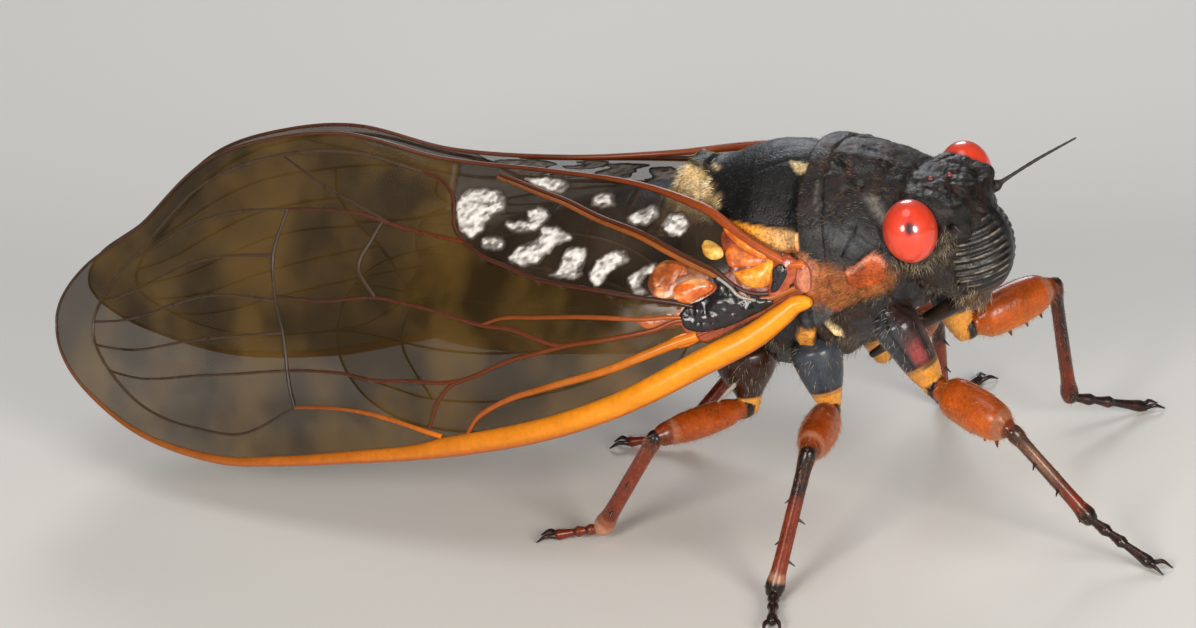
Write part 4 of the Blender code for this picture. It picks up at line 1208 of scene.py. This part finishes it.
ROD_TREE = rods_tree()
VEIN_INK = {k: np.array([linear(c) for c in v.split()]) for k, v in {
    "front": "#F49C14 #F09416 #BC6416 #3E2C20",
    "radius": "#E2821A #C8701A #94481A", "root": "#7A2A10 #8E3A14",
    "media": "#9C4410 #743410 #5A2A10", "middle": "#742E0E #42261A",
    "orange": "#B85A12 #783A12", "dark": "#2A120C #522814",
    "claval": "#2E140C #5E2E14", "claval_rear": "#B0601E #84461C",
    "fork": "#DC741A #84441A", "tip": "#4C382A #3E3022", "band": "#241C18 #362820",
    "hind": "#7A5430 #5A4630",
    "back": "#E06C14 #9C4414 #5E2A10 #4A2E20 #3E2C20"}.items()}


def vein_mesh(rods, side, inset):
    """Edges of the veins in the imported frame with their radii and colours."""
    verts, edges, radii, tints = [], [], [], []
    for look, r0, r1, plan in rods:
        s, q = from_plan(plan)
        n = len(s)
        u = np.linspace(0, 1, n)
        edges += [(len(verts) + k, len(verts) + k + 1) for k in range(n - 1)]
        verts += list(place(wing_point(s, q, side, -inset)))
        radii += list(np.interp(u, [0, 1], [r0, r1]) if np.isscalar(r0)
                      else np.interp(u, np.linspace(0, 1, len(r0)), r0))
        ink = VEIN_INK[look]
        tints += list(np.stack([np.interp(np.sqrt(u), np.linspace(0, 1, len(ink)), c)
                                for c in ink.T], 1))
    mesh = bpy.data.meshes.new("vein_paths")
    mesh.from_pydata([tuple(v) for v in verts], edges, [])
    for name, kind, key, values in (("radius", "FLOAT", "value", np.array(radii) * MM),
                                    ("tint", "FLOAT_COLOR", "color", np.concatenate(
                                        [tints, np.ones((len(tints), 1))], 1))):
        mesh.attributes.new(name, kind, "POINT").data.foreach_set(
            key, np.asarray(values, np.float32).ravel())
    return mesh


def plan_path(points, spacing=.3):
    """An eased path through places, in mm on the flat wing."""
    plan = to_plan(points)
    far = np.linalg.norm(np.diff(plan, axis=0), axis=1).sum()
    return resample(plan, max(4, int(far / spacing)))


def beside(path, far):
    """A path in the plan moved sideways by so many mm."""
    d = np.gradient(path, axis=0)
    d /= np.linalg.norm(d, axis=1)[:, None]
    return path + np.stack([-d[:, 1], d[:, 0]], 1) * np.reshape(far, (-1, 1))


def forewing_rods():
    """Look, radii and path of each vein of the forewing."""
    rods = []
    for look, r0, r1, points in VEINS:
        path = plan_path(points)
        if look == "claval":                       # two veins that run side by side
            rods += [(look, .13, .08, beside(path, .04)),
                     ("claval_rear", .14, .07, beside(path, -.15))]
        else:
            rods.append((look, r0, r1, path))
    s = np.concatenate([[-.015, -.012, -.008, -.004],
                        np.sin(np.linspace(0, 1, 150) * math.pi / 2)])
    width = eased([(-.015, .14), (-.012, .23), (-.006, .33), (.002, .4), (.03, .5),
                   (.08, .56), (.2, .51), (.42, .44), (.47, .33), (.6, .25), (.8, .17),
                   (1., .06)], s)[:, 1]
    edge = to_plan(np.stack([s, 0 * s], 1))
    inward = np.maximum(width, .44 * (s < .05)) * .75 * step(1., .9, s)
    rods.append(("front", width, 0, beside(edge, inward)))
    back = to_plan(np.stack([s, np.interp(s, [0, .021, .047, .071, .1],
                                          [.84, .89, .935, .967, 1.])], 1))
    rods.append(("back", eased([(-.02, .1), (0, .2), (.1, .2), (.2, .13), (.4, .09),
                                (1, .06)], s)[:, 1], 0, back))
    return rods


def hindwing_film(name, side):
    """The hind wing folded under the forewing, and its edge."""
    loop = resample(to_plan(HIND_EDGE + HIND_EDGE[:1]), 91)[:-1]
    points = [Vector(p) for p in loop]
    low, high = loop.min(0), loop.max(0)
    for j, y in enumerate(np.arange(low[1], high[1], .5)):
        for x in np.arange(low[0] + .3 * (j % 2), high[0], .6):
            points.append(Vector((x, y)))
    edges = [(i, (i + 1) % 90) for i in range(90)]
    flat, _, tris, *_ = delaunay_2d_cdt(points, edges, [list(range(90))], 1, .05)
    s, q = from_plan(np.array([tuple(p) for p in flat]))
    sheet = wing_sheet(s, q, [tuple(t) for t in tris], side, -HIND_INSET - FILM / 2,
                       -HIND_INSET + FILM / 2)
    return gathered(name, [sheet]), loop


def wing_pad(outline, side, low, lift, dome, grid=.1, rough=0., ragged=0.):
    """Domed closed pad over an outline of places (s, q) on the wing, low to lift."""
    ring = np.array([tuple(p) for p in outline] + [tuple(outline[0])])
    plan = to_plan(ring)
    count = max(16, int(np.linalg.norm(np.diff(plan, axis=0), axis=1).sum() / grid))
    loop = resample(plan, count + 1)[:-1]
    if ragged:
        lobes = np.stack([loop[:, 0], loop[:, 1], 0 * loop[:, 0]], 1)
        loop = loop + ragged * np.stack([ripple(lobes, .45), ripple(lobes + 9, .45)], 1)
    points = [Vector(p) for p in loop]
    (x0, y0), (x1, y1) = loop.min(0), loop.max(0)
    points += [Vector((x, y)) for j, y in enumerate(np.arange(y0, y1, grid * .87))
               for x in np.arange(x0 + grid * .5 * (j % 2), x1, grid)]
    edges = [(i, (i + 1) % count) for i in range(count)]
    flat, _, tris, *_ = delaunay_2d_cdt(points, edges, [list(range(count))], 1, .02)
    flat = np.array([tuple(p) for p in flat])
    rim = np.linalg.norm(flat[:, None] - loop[None], axis=2).min(1)
    s, q = from_plan(flat)
    high = lift + dome * (1 - np.exp(-rim / .22))
    if rough:
        lumps = ripple(np.stack([flat[:, 0], flat[:, 1], 0 * rim + side], 1), .35, 3)
        high = high + rough * lumps * (1 - np.exp(-rim / .1))
    v, f = wing_sheet(s, q, [tuple(f) for f in tris], side, low + 0 * high, high)
    return v, f, np.tile(rim, len(v) // len(rim))


HOLLOW = "#0A0707"                                 # the dark place at the wing's root
HOLLOW_LUMPS, PLATE_LUMPS = .09, .025              # mm
# hard plates at the wing's root: outline on the wing, lift and dome in mm, two colours
ROOT_PADS = [
    ([(.16, .613), (.143, .66), (.113, .64), (.094, .58), (.105, .53), (.128, .52),
      (.136, .46), (.15, .447), (.164, .52)], .0, .05, "#A8501A", "#DE9050"),
    ([(.075, .967), (.045, .94), (.019, .9), (.0, .98), (-.012, .86), (-.012, .5),
      (-.012, .34), (.026, .27), (.064, .22), (.103, .18), (.122, .25), (.132, .347),
      (.127, .427), (.113, .447), (.094, .48), (.085, .56), (.08, .6), (.07, .653),
      (.074, .733), (.08, .853)], .03, .03, "#8E3A16", "#6A2410"),
    ([(.076, .967), (.047, .95), (.017, .89), (.026, .83), (.042, .82), (.06, .86),
      (.076, .92)], .08, .16, "#E8841C", "#CC5A12"),
    ([(.066, .867), (.047, .84), (.031, .82), (.035, .747), (.059, .687), (.07, .68),
      (.074, .767)], .05, .05, "#B84C12", "#D8701A"),
    ([(.066, .64), (.05, .69), (.034, .76), (.021, .84), (.02, .707), (.026, .547),
      (.04, .517), (.056, .56)], .09, .17, "#F2A42A", "#E08018"),
    ([(.103, .767), (.099, .807), (.087, .807), (.078, .78), (.078, .727), (.089, .693),
      (.098, .707)], .05, .13, "#C88A2A", "#ECC060"),
    ([(.02, .707), (.017, .84), (.006, .98), (-.004, .95), (-.006, .78), (.0, .54),
      (.012, .4), (.021, .38), (.028, .413), (.026, .533)], .1, .16, "#B04A22",
     "#C86A44"),
    ([(.02, .587), (.018, .733), (.012, .82), (.005, .84), (.003, .72), (.01, .55),
      (.018, .447), (.023, .467)], .27, .05, "#140E10", "#2A2026"),
    ([(.129, .36), (.12, .407), (.101, .44), (.085, .507), (.089, .573), (.08, .593),
      (.061, .54), (.047, .467), (.031, .413), (.024, .32), (.052, .27), (.08, .235),
      (.101, .235), (.122, .28)], .07, .13, HOLLOW, "#24121A"),
    ([(.134, .453), (.132, .52), (.115, .56), (.096, .56), (.089, .513), (.103, .453),
      (.12, .42)], .07, .18, "#D8620F", "#F0A468"),
    ([(.12, .4), (.139, .4), (.157, .385), (.182, .372), (.165, .315), (.136, .3),
      (.118, .3)], .01, .07, "#B4581A", "#8E3E16"),
    ([(.112, .25), (.129, .26), (.145, .245), (.168, .215), (.141, .19), (.112, .195)],
     .02, .08, "#D87818", "#C86A1A"),
    ([(.12, .445), (.15, .452), (.2, .475), (.205, .42), (.17, .385), (.13, .39)],
     -.03, .03, "#3A1E14", "#54301C"),
    ([(-.006, .833), (-.01, .94), (-.019, .8), (-.02, .553), (-.016, .36), (-.006, .34),
      (-.002, .54)], .02, .1, "#C87A5A", "#A4502E"),
]
ROOT_BEAD = [(.081, .58), (.068, .527), (.059, .46), (.042, .407)]
# painted reflections: near-white patches where the wing clings to the back, standing in for
# the light they mirror
REFLECTION_EDGE, REFLECTION_BRIGHT = "#4A3C34", "#FFF8F2"
REFLECTION_PATCHES = [
    [(0.423, 0.893), (0.404, 0.913), (0.378, 0.913), (0.362, 0.873), (0.359, 0.827),
     (0.373, 0.807), (0.383, 0.753), (0.399, 0.72), (0.415, 0.747), (0.425, 0.8),
     (0.427, 0.86)],
    [(0.359, 0.793), (0.329, 0.8), (0.333, 0.833), (0.317, 0.853), (0.301, 0.833),
     (0.303, 0.787), (0.317, 0.747), (0.333, 0.74), (0.352, 0.753)],
    [(0.385, 0.727), (0.369, 0.74), (0.352, 0.713), (0.354, 0.68), (0.373, 0.673),
     (0.385, 0.7)],
    [(0.347, 0.653), (0.331, 0.7), (0.31, 0.727), (0.31, 0.767), (0.289, 0.78),
     (0.272, 0.747), (0.263, 0.733), (0.275, 0.707), (0.289, 0.673), (0.301, 0.627),
     (0.317, 0.613), (0.338, 0.62)],
    [(0.291, 0.587), (0.277, 0.607), (0.272, 0.667), (0.261, 0.693), (0.244, 0.687),
     (0.242, 0.64), (0.247, 0.567), (0.263, 0.553), (0.284, 0.567)],
    [(0.237, 0.54), (0.237, 0.593), (0.225, 0.653), (0.207, 0.687), (0.19, 0.68),
     (0.188, 0.64), (0.202, 0.607), (0.214, 0.553), (0.225, 0.52)],
    [(0.188, 0.507), (0.19, 0.553), (0.179, 0.6), (0.167, 0.627), (0.155, 0.647),
     (0.153, 0.607), (0.167, 0.567), (0.169, 0.533), (0.164, 0.487), (0.176, 0.473)],
    [(0.352, 0.96), (0.329, 0.973), (0.301, 0.98), (0.286, 0.937), (0.298, 0.91),
     (0.322, 0.92), (0.345, 0.945)],
    [(0.256, 0.901), (0.243, 0.942), (0.225, 0.934), (0.22, 0.882), (0.234, 0.863),
     (0.25, 0.863)],
    [(0.202, 0.836), (0.19, 0.886), (0.167, 0.927), (0.161, 0.869), (0.178, 0.814),
     (0.199, 0.814)],
    [(0.158, 0.822), (0.151, 0.904), (0.129, 0.929), (0.12, 0.863), (0.132, 0.792),
     (0.148, 0.782)],
]

for side, word in SIDES_OF_BODY:
    for label, look, clear in (("forewing_film_", wing_film, False),
                               ("forewing_clear_", clear_film, True)):
        finish_with(forewing_film(label + word, side, clear), look)
    veins = run_tree("forewing_veins_" + word, vein_mesh(forewing_rods(), side, 0.),
                     ROD_TREE, {"Sides": 12, "Finish": vein_cuticle})
    at, out = unplace(coords(veins)), normals(veins)
    s = np.clip((WING_ROOT - at[:, 0]) / WING_LONG, 0, 1)
    front, inner = wing_point(s, 0 * s, side), wing_point(s, 0 * s + .12, side)
    edge_way = front - inner
    edge_way /= np.linalg.norm(edge_way, axis=1)[:, None] + 1e-6
    outer = (unturned(out) * edge_way).sum(1)
    near = 1 - step(.8, 1.0, np.linalg.norm(at - front, axis=1))
    ink = np.empty(len(at) * 4, np.float32)
    veins.data.attributes["tint"].data.foreach_get("color", ink)
    ink = ink.reshape(-1, 4)[:, :3]
    low = (step(.35, .85, outer) * near)[:, None] * .8      # the front edge's lower side
    store(veins, "tint", ink * (1 - low) + linear("#B04E0A") * low)
    finish_with(veins, vein_cuticle, ("forewing_" + word,))
    pads, inks = [], []
    for outline, lift, dome, ink, ink2 in ROOT_PADS:
        *pad, rim = wing_pad(outline, side, -.06, lift, dome,
                             rough=HOLLOW_LUMPS if ink == HOLLOW else PLATE_LUMPS)
        tone = step(-.2, .5, ripple(pad[0] * [.6, 1, 1], .45, 3))[:, None]
        pads.append(pad)
        inks.append(linear(ink) * (1 - tone) + linear(ink2) * tone)
    bead = resample(to_plan(ROOT_BEAD), 40)
    pads.append(limb(wing_point(*from_plan(bead), side, .24), np.full(40, .065), 10))
    inks.append(linear("#A49890"))
    finish_with(gathered("wing_root_plates_" + word, pads, inks), root_cuticle)
    pads, inks = [], []
    for outline in REFLECTION_PATCHES:
        *pad, rim = wing_pad(outline, side, -.05, -.01, .07, .07, .04, .12)
        v = pad[0]
        streak = ripple(np.stack([v[:, 0] * .8 - v[:, 2], v[:, 0] * .25 + v[:, 1],
                                  v[:, 2]], 1), .26, 2)
        # painted reflection: from a dark edge to near white, streaked
        bright = np.clip(step(.02, .22, rim) * (.74 + .9 * streak), 0, 1)[:, None]
        pads.append(pad)
        inks.append(linear(REFLECTION_EDGE) * (1 - bright) + linear(REFLECTION_BRIGHT) * bright)
    finish_with(gathered("silver_sheen_" + word, pads, inks), painted_reflection_finish)
    under, loop = hindwing_film("hindwing_film_" + word, side)
    finish_with(under, hind_film)
    rods = [("hind", .07, .045, plan_path(points)) for points in HIND_VEINS]
    rods.append(("hind", .06, .06, np.concatenate([loop, loop[:1]])))
    ribs = run_tree("hindwing_veins_" + word, vein_mesh(rods, side, HIND_INSET),
                    ROD_TREE, {"Sides": 8, "Finish": vein_cuticle})
    finish_with(ribs, vein_cuticle, ("hindwing_" + word,))


# ---- hair -------------------------------------------------------------------------
def hair_tree():
    """Tapered bent hairs rooted on a surface, leaning along its lie."""
    tree, given = new_tree(
        "hair_pile", {"Skin": "Geometry", "Density": "Float", "Length": "Float",
                      "Width": "Float", "Bend": "Float", "Seed": "Int",
                      "Finish": "Material"}, "Hair")
    coat, lie, lay, at_root, on_cone = [
        add(tree, "GeometryNodeInputNamedAttribute", {"Name": label}, data_type=kind)
        for label, kind in (("coat", "FLOAT"), ("lie", "FLOAT_VECTOR"),
                            ("lay", "FLOAT_VECTOR"), ("root_uv", "FLOAT_VECTOR"),
                            ("cone_uv", "FLOAT_VECTOR"))]
    many = add(tree, "ShaderNodeMath", {0: coat, 1: given["Density"]},
               operation="MULTIPLY")
    roots = add(tree, "GeometryNodeDistributePointsOnFaces",
                {"Mesh": given["Skin"], "Density": many, "Seed": given["Seed"]})
    root_uv = add(tree, "GeometryNodeStoreNamedAttribute",
                  {"Geometry": roots.outputs["Points"], "Name": "root_uv", "Value": lay},
                  data_type="FLOAT_VECTOR", domain="POINT")
    stray = add(tree, "FunctionNodeRandomValue", {"Min": (-.45, -.45, -.45),
                                                  "Max": (.45, .45, .45), "Seed": 3},
                data_type="FLOAT_VECTOR")
    aim = add(tree, "ShaderNodeVectorMath", {0: lie, 1: stray}, operation="ADD")
    turn = add(tree, "FunctionNodeAxesToRotation",
               {"Primary Axis": aim, "Secondary Axis": roots.outputs["Normal"]},
               primary_axis="Z", secondary_axis="Y")
    cone = add(tree, "GeometryNodeMeshCone",
               {"Vertices": 3, "Side Segments": 3, "Radius Top": .08, "Radius Bottom": 1.,
                "Depth": 1.}, fill_type="NGON")
    where = add(tree, "GeometryNodeInputPosition")
    parts = add(tree, "ShaderNodeSeparateXYZ", {"Vector": where})
    bow = add(tree, "ShaderNodeMath", {0: parts.outputs["Z"], 1: 2.}, operation="POWER")
    bow = add(tree, "ShaderNodeMath", {0: bow, 1: given["Bend"]}, operation="MULTIPLY")
    shift = add(tree, "ShaderNodeCombineXYZ", {"Y": bow})
    bent = add(tree, "GeometryNodeSetPosition", {"Geometry": cone.outputs["Mesh"],
                                                 "Offset": shift})
    patch = add(tree, "GeometryNodeStoreNamedAttribute",
                {"Geometry": bent, "Name": "cone_uv", "Value": cone.outputs["UV Map"]},
                data_type="FLOAT_VECTOR", domain="CORNER")
    length = add(tree, "FunctionNodeRandomValue", {"Min": .55, "Max": 1.25, "Seed": 5},
                 data_type="FLOAT")
    tall = add(tree, "ShaderNodeMath", {0: length, 1: given["Length"]},
               operation="MULTIPLY")
    size = add(tree, "ShaderNodeCombineXYZ", {"X": given["Width"], "Y": given["Width"],
                                              "Z": tall})
    hairs = add(tree, "GeometryNodeInstanceOnPoints",
                {"Points": root_uv, "Instance": patch, "Rotation": turn, "Scale": size})
    real = add(tree, "GeometryNodeRealizeInstances", {"Geometry": hairs})
    small = add(tree, "ShaderNodeVectorMath", {0: on_cone, "Scale": .003},
                operation="SCALE")
    total = add(tree, "ShaderNodeVectorMath", {0: at_root, 1: small}, operation="ADD")
    mapped = add(tree, "GeometryNodeStoreNamedAttribute",
                 {"Geometry": real, "Name": "OFBake", "Value": total},
                 data_type="FLOAT2", domain="CORNER")
    done = add(tree, "GeometryNodeSetMaterial", {"Geometry": mapped,
                                                 "Material": given["Finish"]})
    add(tree, "NodeGroupOutput", {"Hair": done})
    return tree


HAIR_TREE = hair_tree()
HAIR_BEND = -.3                # the tip bends back by this share of the length


HAIRS = {   # length and width in mm, hairs on a mm2, look, seed, slot
    "pleura_pile": (.3, .008, 80., golden_hair, 11, "underside"),
    "eye_fringe": (.3, .0075, 110., pale_hair, 17, "cuticle_black"),
    "cheek_pile": (.24, .0075, 30., grey_hair, 14, "cuticle_black"),
    "chin_pile": (.34, .008, 40., pale_hair, 18, "nose_black"),
    "scutellum_pile": (.38, .012, 230., cream_hair, 15, "cuticle_black"),
    "belly_pile": (.34, .008, 48., grey_hair, 12, "underside"),
    "back_down": (.13, .006, 70., dark_hair, 13, "cuticle_black"),
    "pronotum_down": (.17, .006, 60., grey_hair, 19, "cuticle_black"),
    "tail_down": (.22, .0065, 20., grey_hair, 16, "abdomen"),
    "leg_down": (.2, .0065, 70., rust_hair, 20, "leg_orange"),
    "hip_pile": (.34, .008, 13., pale_hair, 30, "leg_orange")}


def hair_on(kind, skin, coat, lie, lay=None, leg="", seed_step=0):
    """Hair of a kind on a skin: coat is how dense at each vertex, lie its lean."""
    length, width, per_mm2, finish, seed, slot = HAIRS[kind]
    mesh = skin.data.copy()
    holder = bpy.data.objects.new("holder", mesh)
    store(holder, "coat", coat, "FLOAT")
    store(holder, "lie", lie, "FLOAT_VECTOR")
    at = unplace(coords(holder))
    if lay is None:
        lay = np.stack([(at[:, 0] + 30) / 36, np.arctan2(at[:, 1], at[:, 2] + .5)
                        / (2 * math.pi) + .5, 0 * at[:, 0]], 1)
    store(holder, "lay", lay, "FLOAT_VECTOR")
    bpy.data.objects.remove(holder)
    hair = run_tree(kind + leg, mesh, HAIR_TREE,
                    {"Density": per_mm2 / MM ** 2, "Length": length * MM,
                     "Width": width * MM, "Bend": HAIR_BEND * length / width,
                     "Seed": seed + seed_step, "Finish": finish})
    for junk in ("root_uv", "cone_uv"):
        found = hair.data.attributes.get(junk)
        if found:
            hair.data.attributes.remove(found)
    finish_with(hair, finish)


x, y, z = skin_at.T
n = normals(skin)
turn = turn_of(skin_at)
back_way = np.array(way((-1, 0, -.25)))            # hair on the back lies backward
plate = inside(x, turn, PLATE, .12)
fuzz = inside(x, turn, FUZZ, .4) + .6 * inside(x, turn, HINGE, .3)
hair_on("pleura_pile", skin, np.clip(fuzz - plate * 1.2, 0, 1), n * .7 + back_way)
rim = np.hypot((x - EYE_AT[0]) / EYE_R[0], (z - EYE_AT[2]) / EYE_R[2])
beside_eye = step(1.7, 2.2, np.abs(y)) * step(-4., -3.7, x)
hair_on("eye_fringe", skin, hump(rim, 1.22, .22) * beside_eye * step(1.7, .9, z),
        n * .8 + np.array(way((-.2, 0, -.7))))
cheek = step(-3.75, -3.4, x) * (1 - step(-1.1, -.9, x)) * step(60, 80, turn)
hair_on("cheek_pile", skin, np.clip(cheek * (.5 + ripple(skin_at, .7, 2)), 0, 1),
        n * .75 + np.array(way((-.3, 0, -.9))))
chin_at = unplace(coords(face))
below = step(-1.1, -1.7, chin_at[:, 2]) * step(-1.2, -1.6, chin_at[:, 0])
hair_on("chin_pile", face, below, normals(face) * .7 + np.array(way((-.3, 0, -.8))))
scutel = inside(x, turn, GOLD, .2) * (1 - step(.1, .3, bare_end(x, turn)))
scutel = np.clip(scutel * (.45 + 1.4 * ripple(skin_at, .8, 2)), 0, 1)
hair_on("scutellum_pile", skin, scutel, n * .35 + back_way)
belly = step(106, 118, turn) * step(-3.6, -4.2, x) * (1 - step(-14., -14.8, x))
belly = np.clip(belly * (.3 + 1.2 * ripple(skin_at + 5, 1.2, 2)), 0, 1)
for outline in (AMBER, SLIVER, SLATE):
    belly = belly * (1 - inside(x, turn, outline, .15))
hair_on("belly_pile", skin, belly, n * .6 + np.array(way((-.45, 0, -.9))))
crown = step(-3.8, -3.5, x) * (1 - step(70, 85, turn))
neck = hump(x, -3.62, .22) * (1 - step(90, 100, turn))
back = np.clip((.2 + .6 * crown) * (1 - step(70, 84, turn)) + neck, 0, 1)
back *= step(-12.4, -11.8, x)
hair_on("back_down", skin, back, n * .8 + back_way * .7)
front = step(-7.5, -7.1, x) * (1 - step(-4., -3.7, x)) * (1 - step(50, 80, turn))
hair_on("pronotum_down", skin, np.clip(front * (.4 + ripple(skin_at + 3, .8, 3)), 0, 1),
        n * .7 + back_way * .8)
tail = step(-14.6, -15., x) * step(95, 110, turn)
hair_on("tail_down", skin, tail, n * .3 + back_way)
for k, (name, leg) in enumerate(legs.items()):
    at, m = coords(leg) / MM, normals(leg)
    hip, trochanter, knee, heel = [turned(LEGS[name][j])[0] + SHIFT for j in range(4)]
    toward = (heel - knee) / np.linalg.norm(heel - knee)
    from_hip = np.linalg.norm(at - hip, axis=1)
    above = step(.5, 1.1, at[:, 2])                # none at the floor
    on_thigh = hump(np.linalg.norm(at - (knee + trochanter) / 2, axis=1), 0, 2.2)
    lay = np.stack([at[:, 0] * MM * 14 + .4, at[:, 2] * MM * 40, 0 * at[:, 0]], 1)
    thigh_coat = (.22 + on_thigh * .8) * above * step(2.6, 3.6, from_hip)
    hair_on("leg_down", leg, thigh_coat, m * .6 + toward * .8, lay, "_" + name, k)
    hair_on("hip_pile", leg, hump(from_hip, .8, 2.4) * above,
            m * .7 + np.array((-.3, 0, -.8)), lay, "_" + name, k)


# ---- floor, light and camera ------------------------------------------------------
floor_mat = bpy.data.materials.new("pale_floor")
floor_mat.use_nodes = True
floor_mat.node_tree.nodes["Principled BSDF"].inputs["Base Color"].default_value = \
    (*linear("#E6E4DF"), 1)
floor_mat.node_tree.nodes["Principled BSDF"].inputs["Roughness"].default_value = .75
floor = piece("studio_floor", [(-3, -3, 0), (3, -3, 0), (3, 3, 0), (-3, 3, 0)],
              [(0, 1, 2, 3)])
floor.data.materials.append(floor_mat)

world = bpy.data.worlds.new("studio")
world.use_nodes = True
world.node_tree.nodes["Background"].inputs[0].default_value = (*linear("#DDE2E6"), 1)
world.node_tree.nodes["Background"].inputs[1].default_value = .17
bpy.context.scene.world = world

right = way(VIEW_RIGHT).normalized()
up = way(VIEW_UP)
up = (up - right * up.dot(right)).normalized()
back = right.cross(up)
face_tip = Vector(place((0, 0, 0))[0])
eye_point = face_tip + back * VIEW_FAR * MM
focal = PIXELS_PER_MM * VIEW_FAR
dx, dy = PHOTO[0] / 2 - FACE_PIXEL[0], PHOTO[1] / 2 - FACE_PIXEL[1]
back = (back * focal - right * dx + up * dy).normalized()
right = (right - back * right.dot(back)).normalized()
up = back.cross(right)
lens = bpy.data.cameras.new("photo_view")
lens.sensor_width = SENSOR
lens.lens = SENSOR * focal / PHOTO[0]
lens.clip_start, lens.clip_end = .01, 20
camera = bpy.data.objects.new("photo_view", lens)
bpy.context.scene.collection.objects.link(camera)
camera.matrix_world = Matrix.Translation(eye_point) @ Matrix((
    (right.x, up.x, back.x, 0), (right.y, up.y, back.y, 0), (right.z, up.z, back.z, 0),
    (0, 0, 0, 1)))
bpy.context.scene.camera = camera
bpy.context.scene.view_settings.view_transform = "Standard"    # keeps the oranges pure


FLASH_FAR, FLASH_WIDE = .26, .09        # m: twin flashes give the twin glints in the eye


def soft_light(name, aim, at, size, power, colour="#FFFFFF"):
    """A round area light with its diameter in metres and power in watts."""
    light = bpy.data.lights.new(name, "AREA")
    light.shape, light.size, light.energy = "DISK", size, power
    light.color = tuple(linear(colour))
    obj = bpy.data.objects.new(name, light)
    bpy.context.scene.collection.objects.link(obj)
    at = Vector(at)
    obj.location = at
    obj.rotation_euler = (at - Vector(aim)).to_track_quat("Z", "Y").to_euler()


middle = Vector((.004, 0, .008))
to_lens = (eye_point - middle).normalized()
for name, turn, power, hue in (("flash_right", 27, .43, "#FFFAF2"),
                               ("flash_left", -27, .36, "#FFF8F0")):
    aim = Matrix.Rotation(math.radians(turn), 3, up) @ to_lens
    soft_light(name, middle, middle + aim * FLASH_FAR, FLASH_WIDE, power, hue)
soft_light("top", middle, (.02, -.05, .34), .2, .22, "#FFFFFF")
soft_light("rim", middle, (-.1, .26, .16), .12, .3, "#F4F8FF")
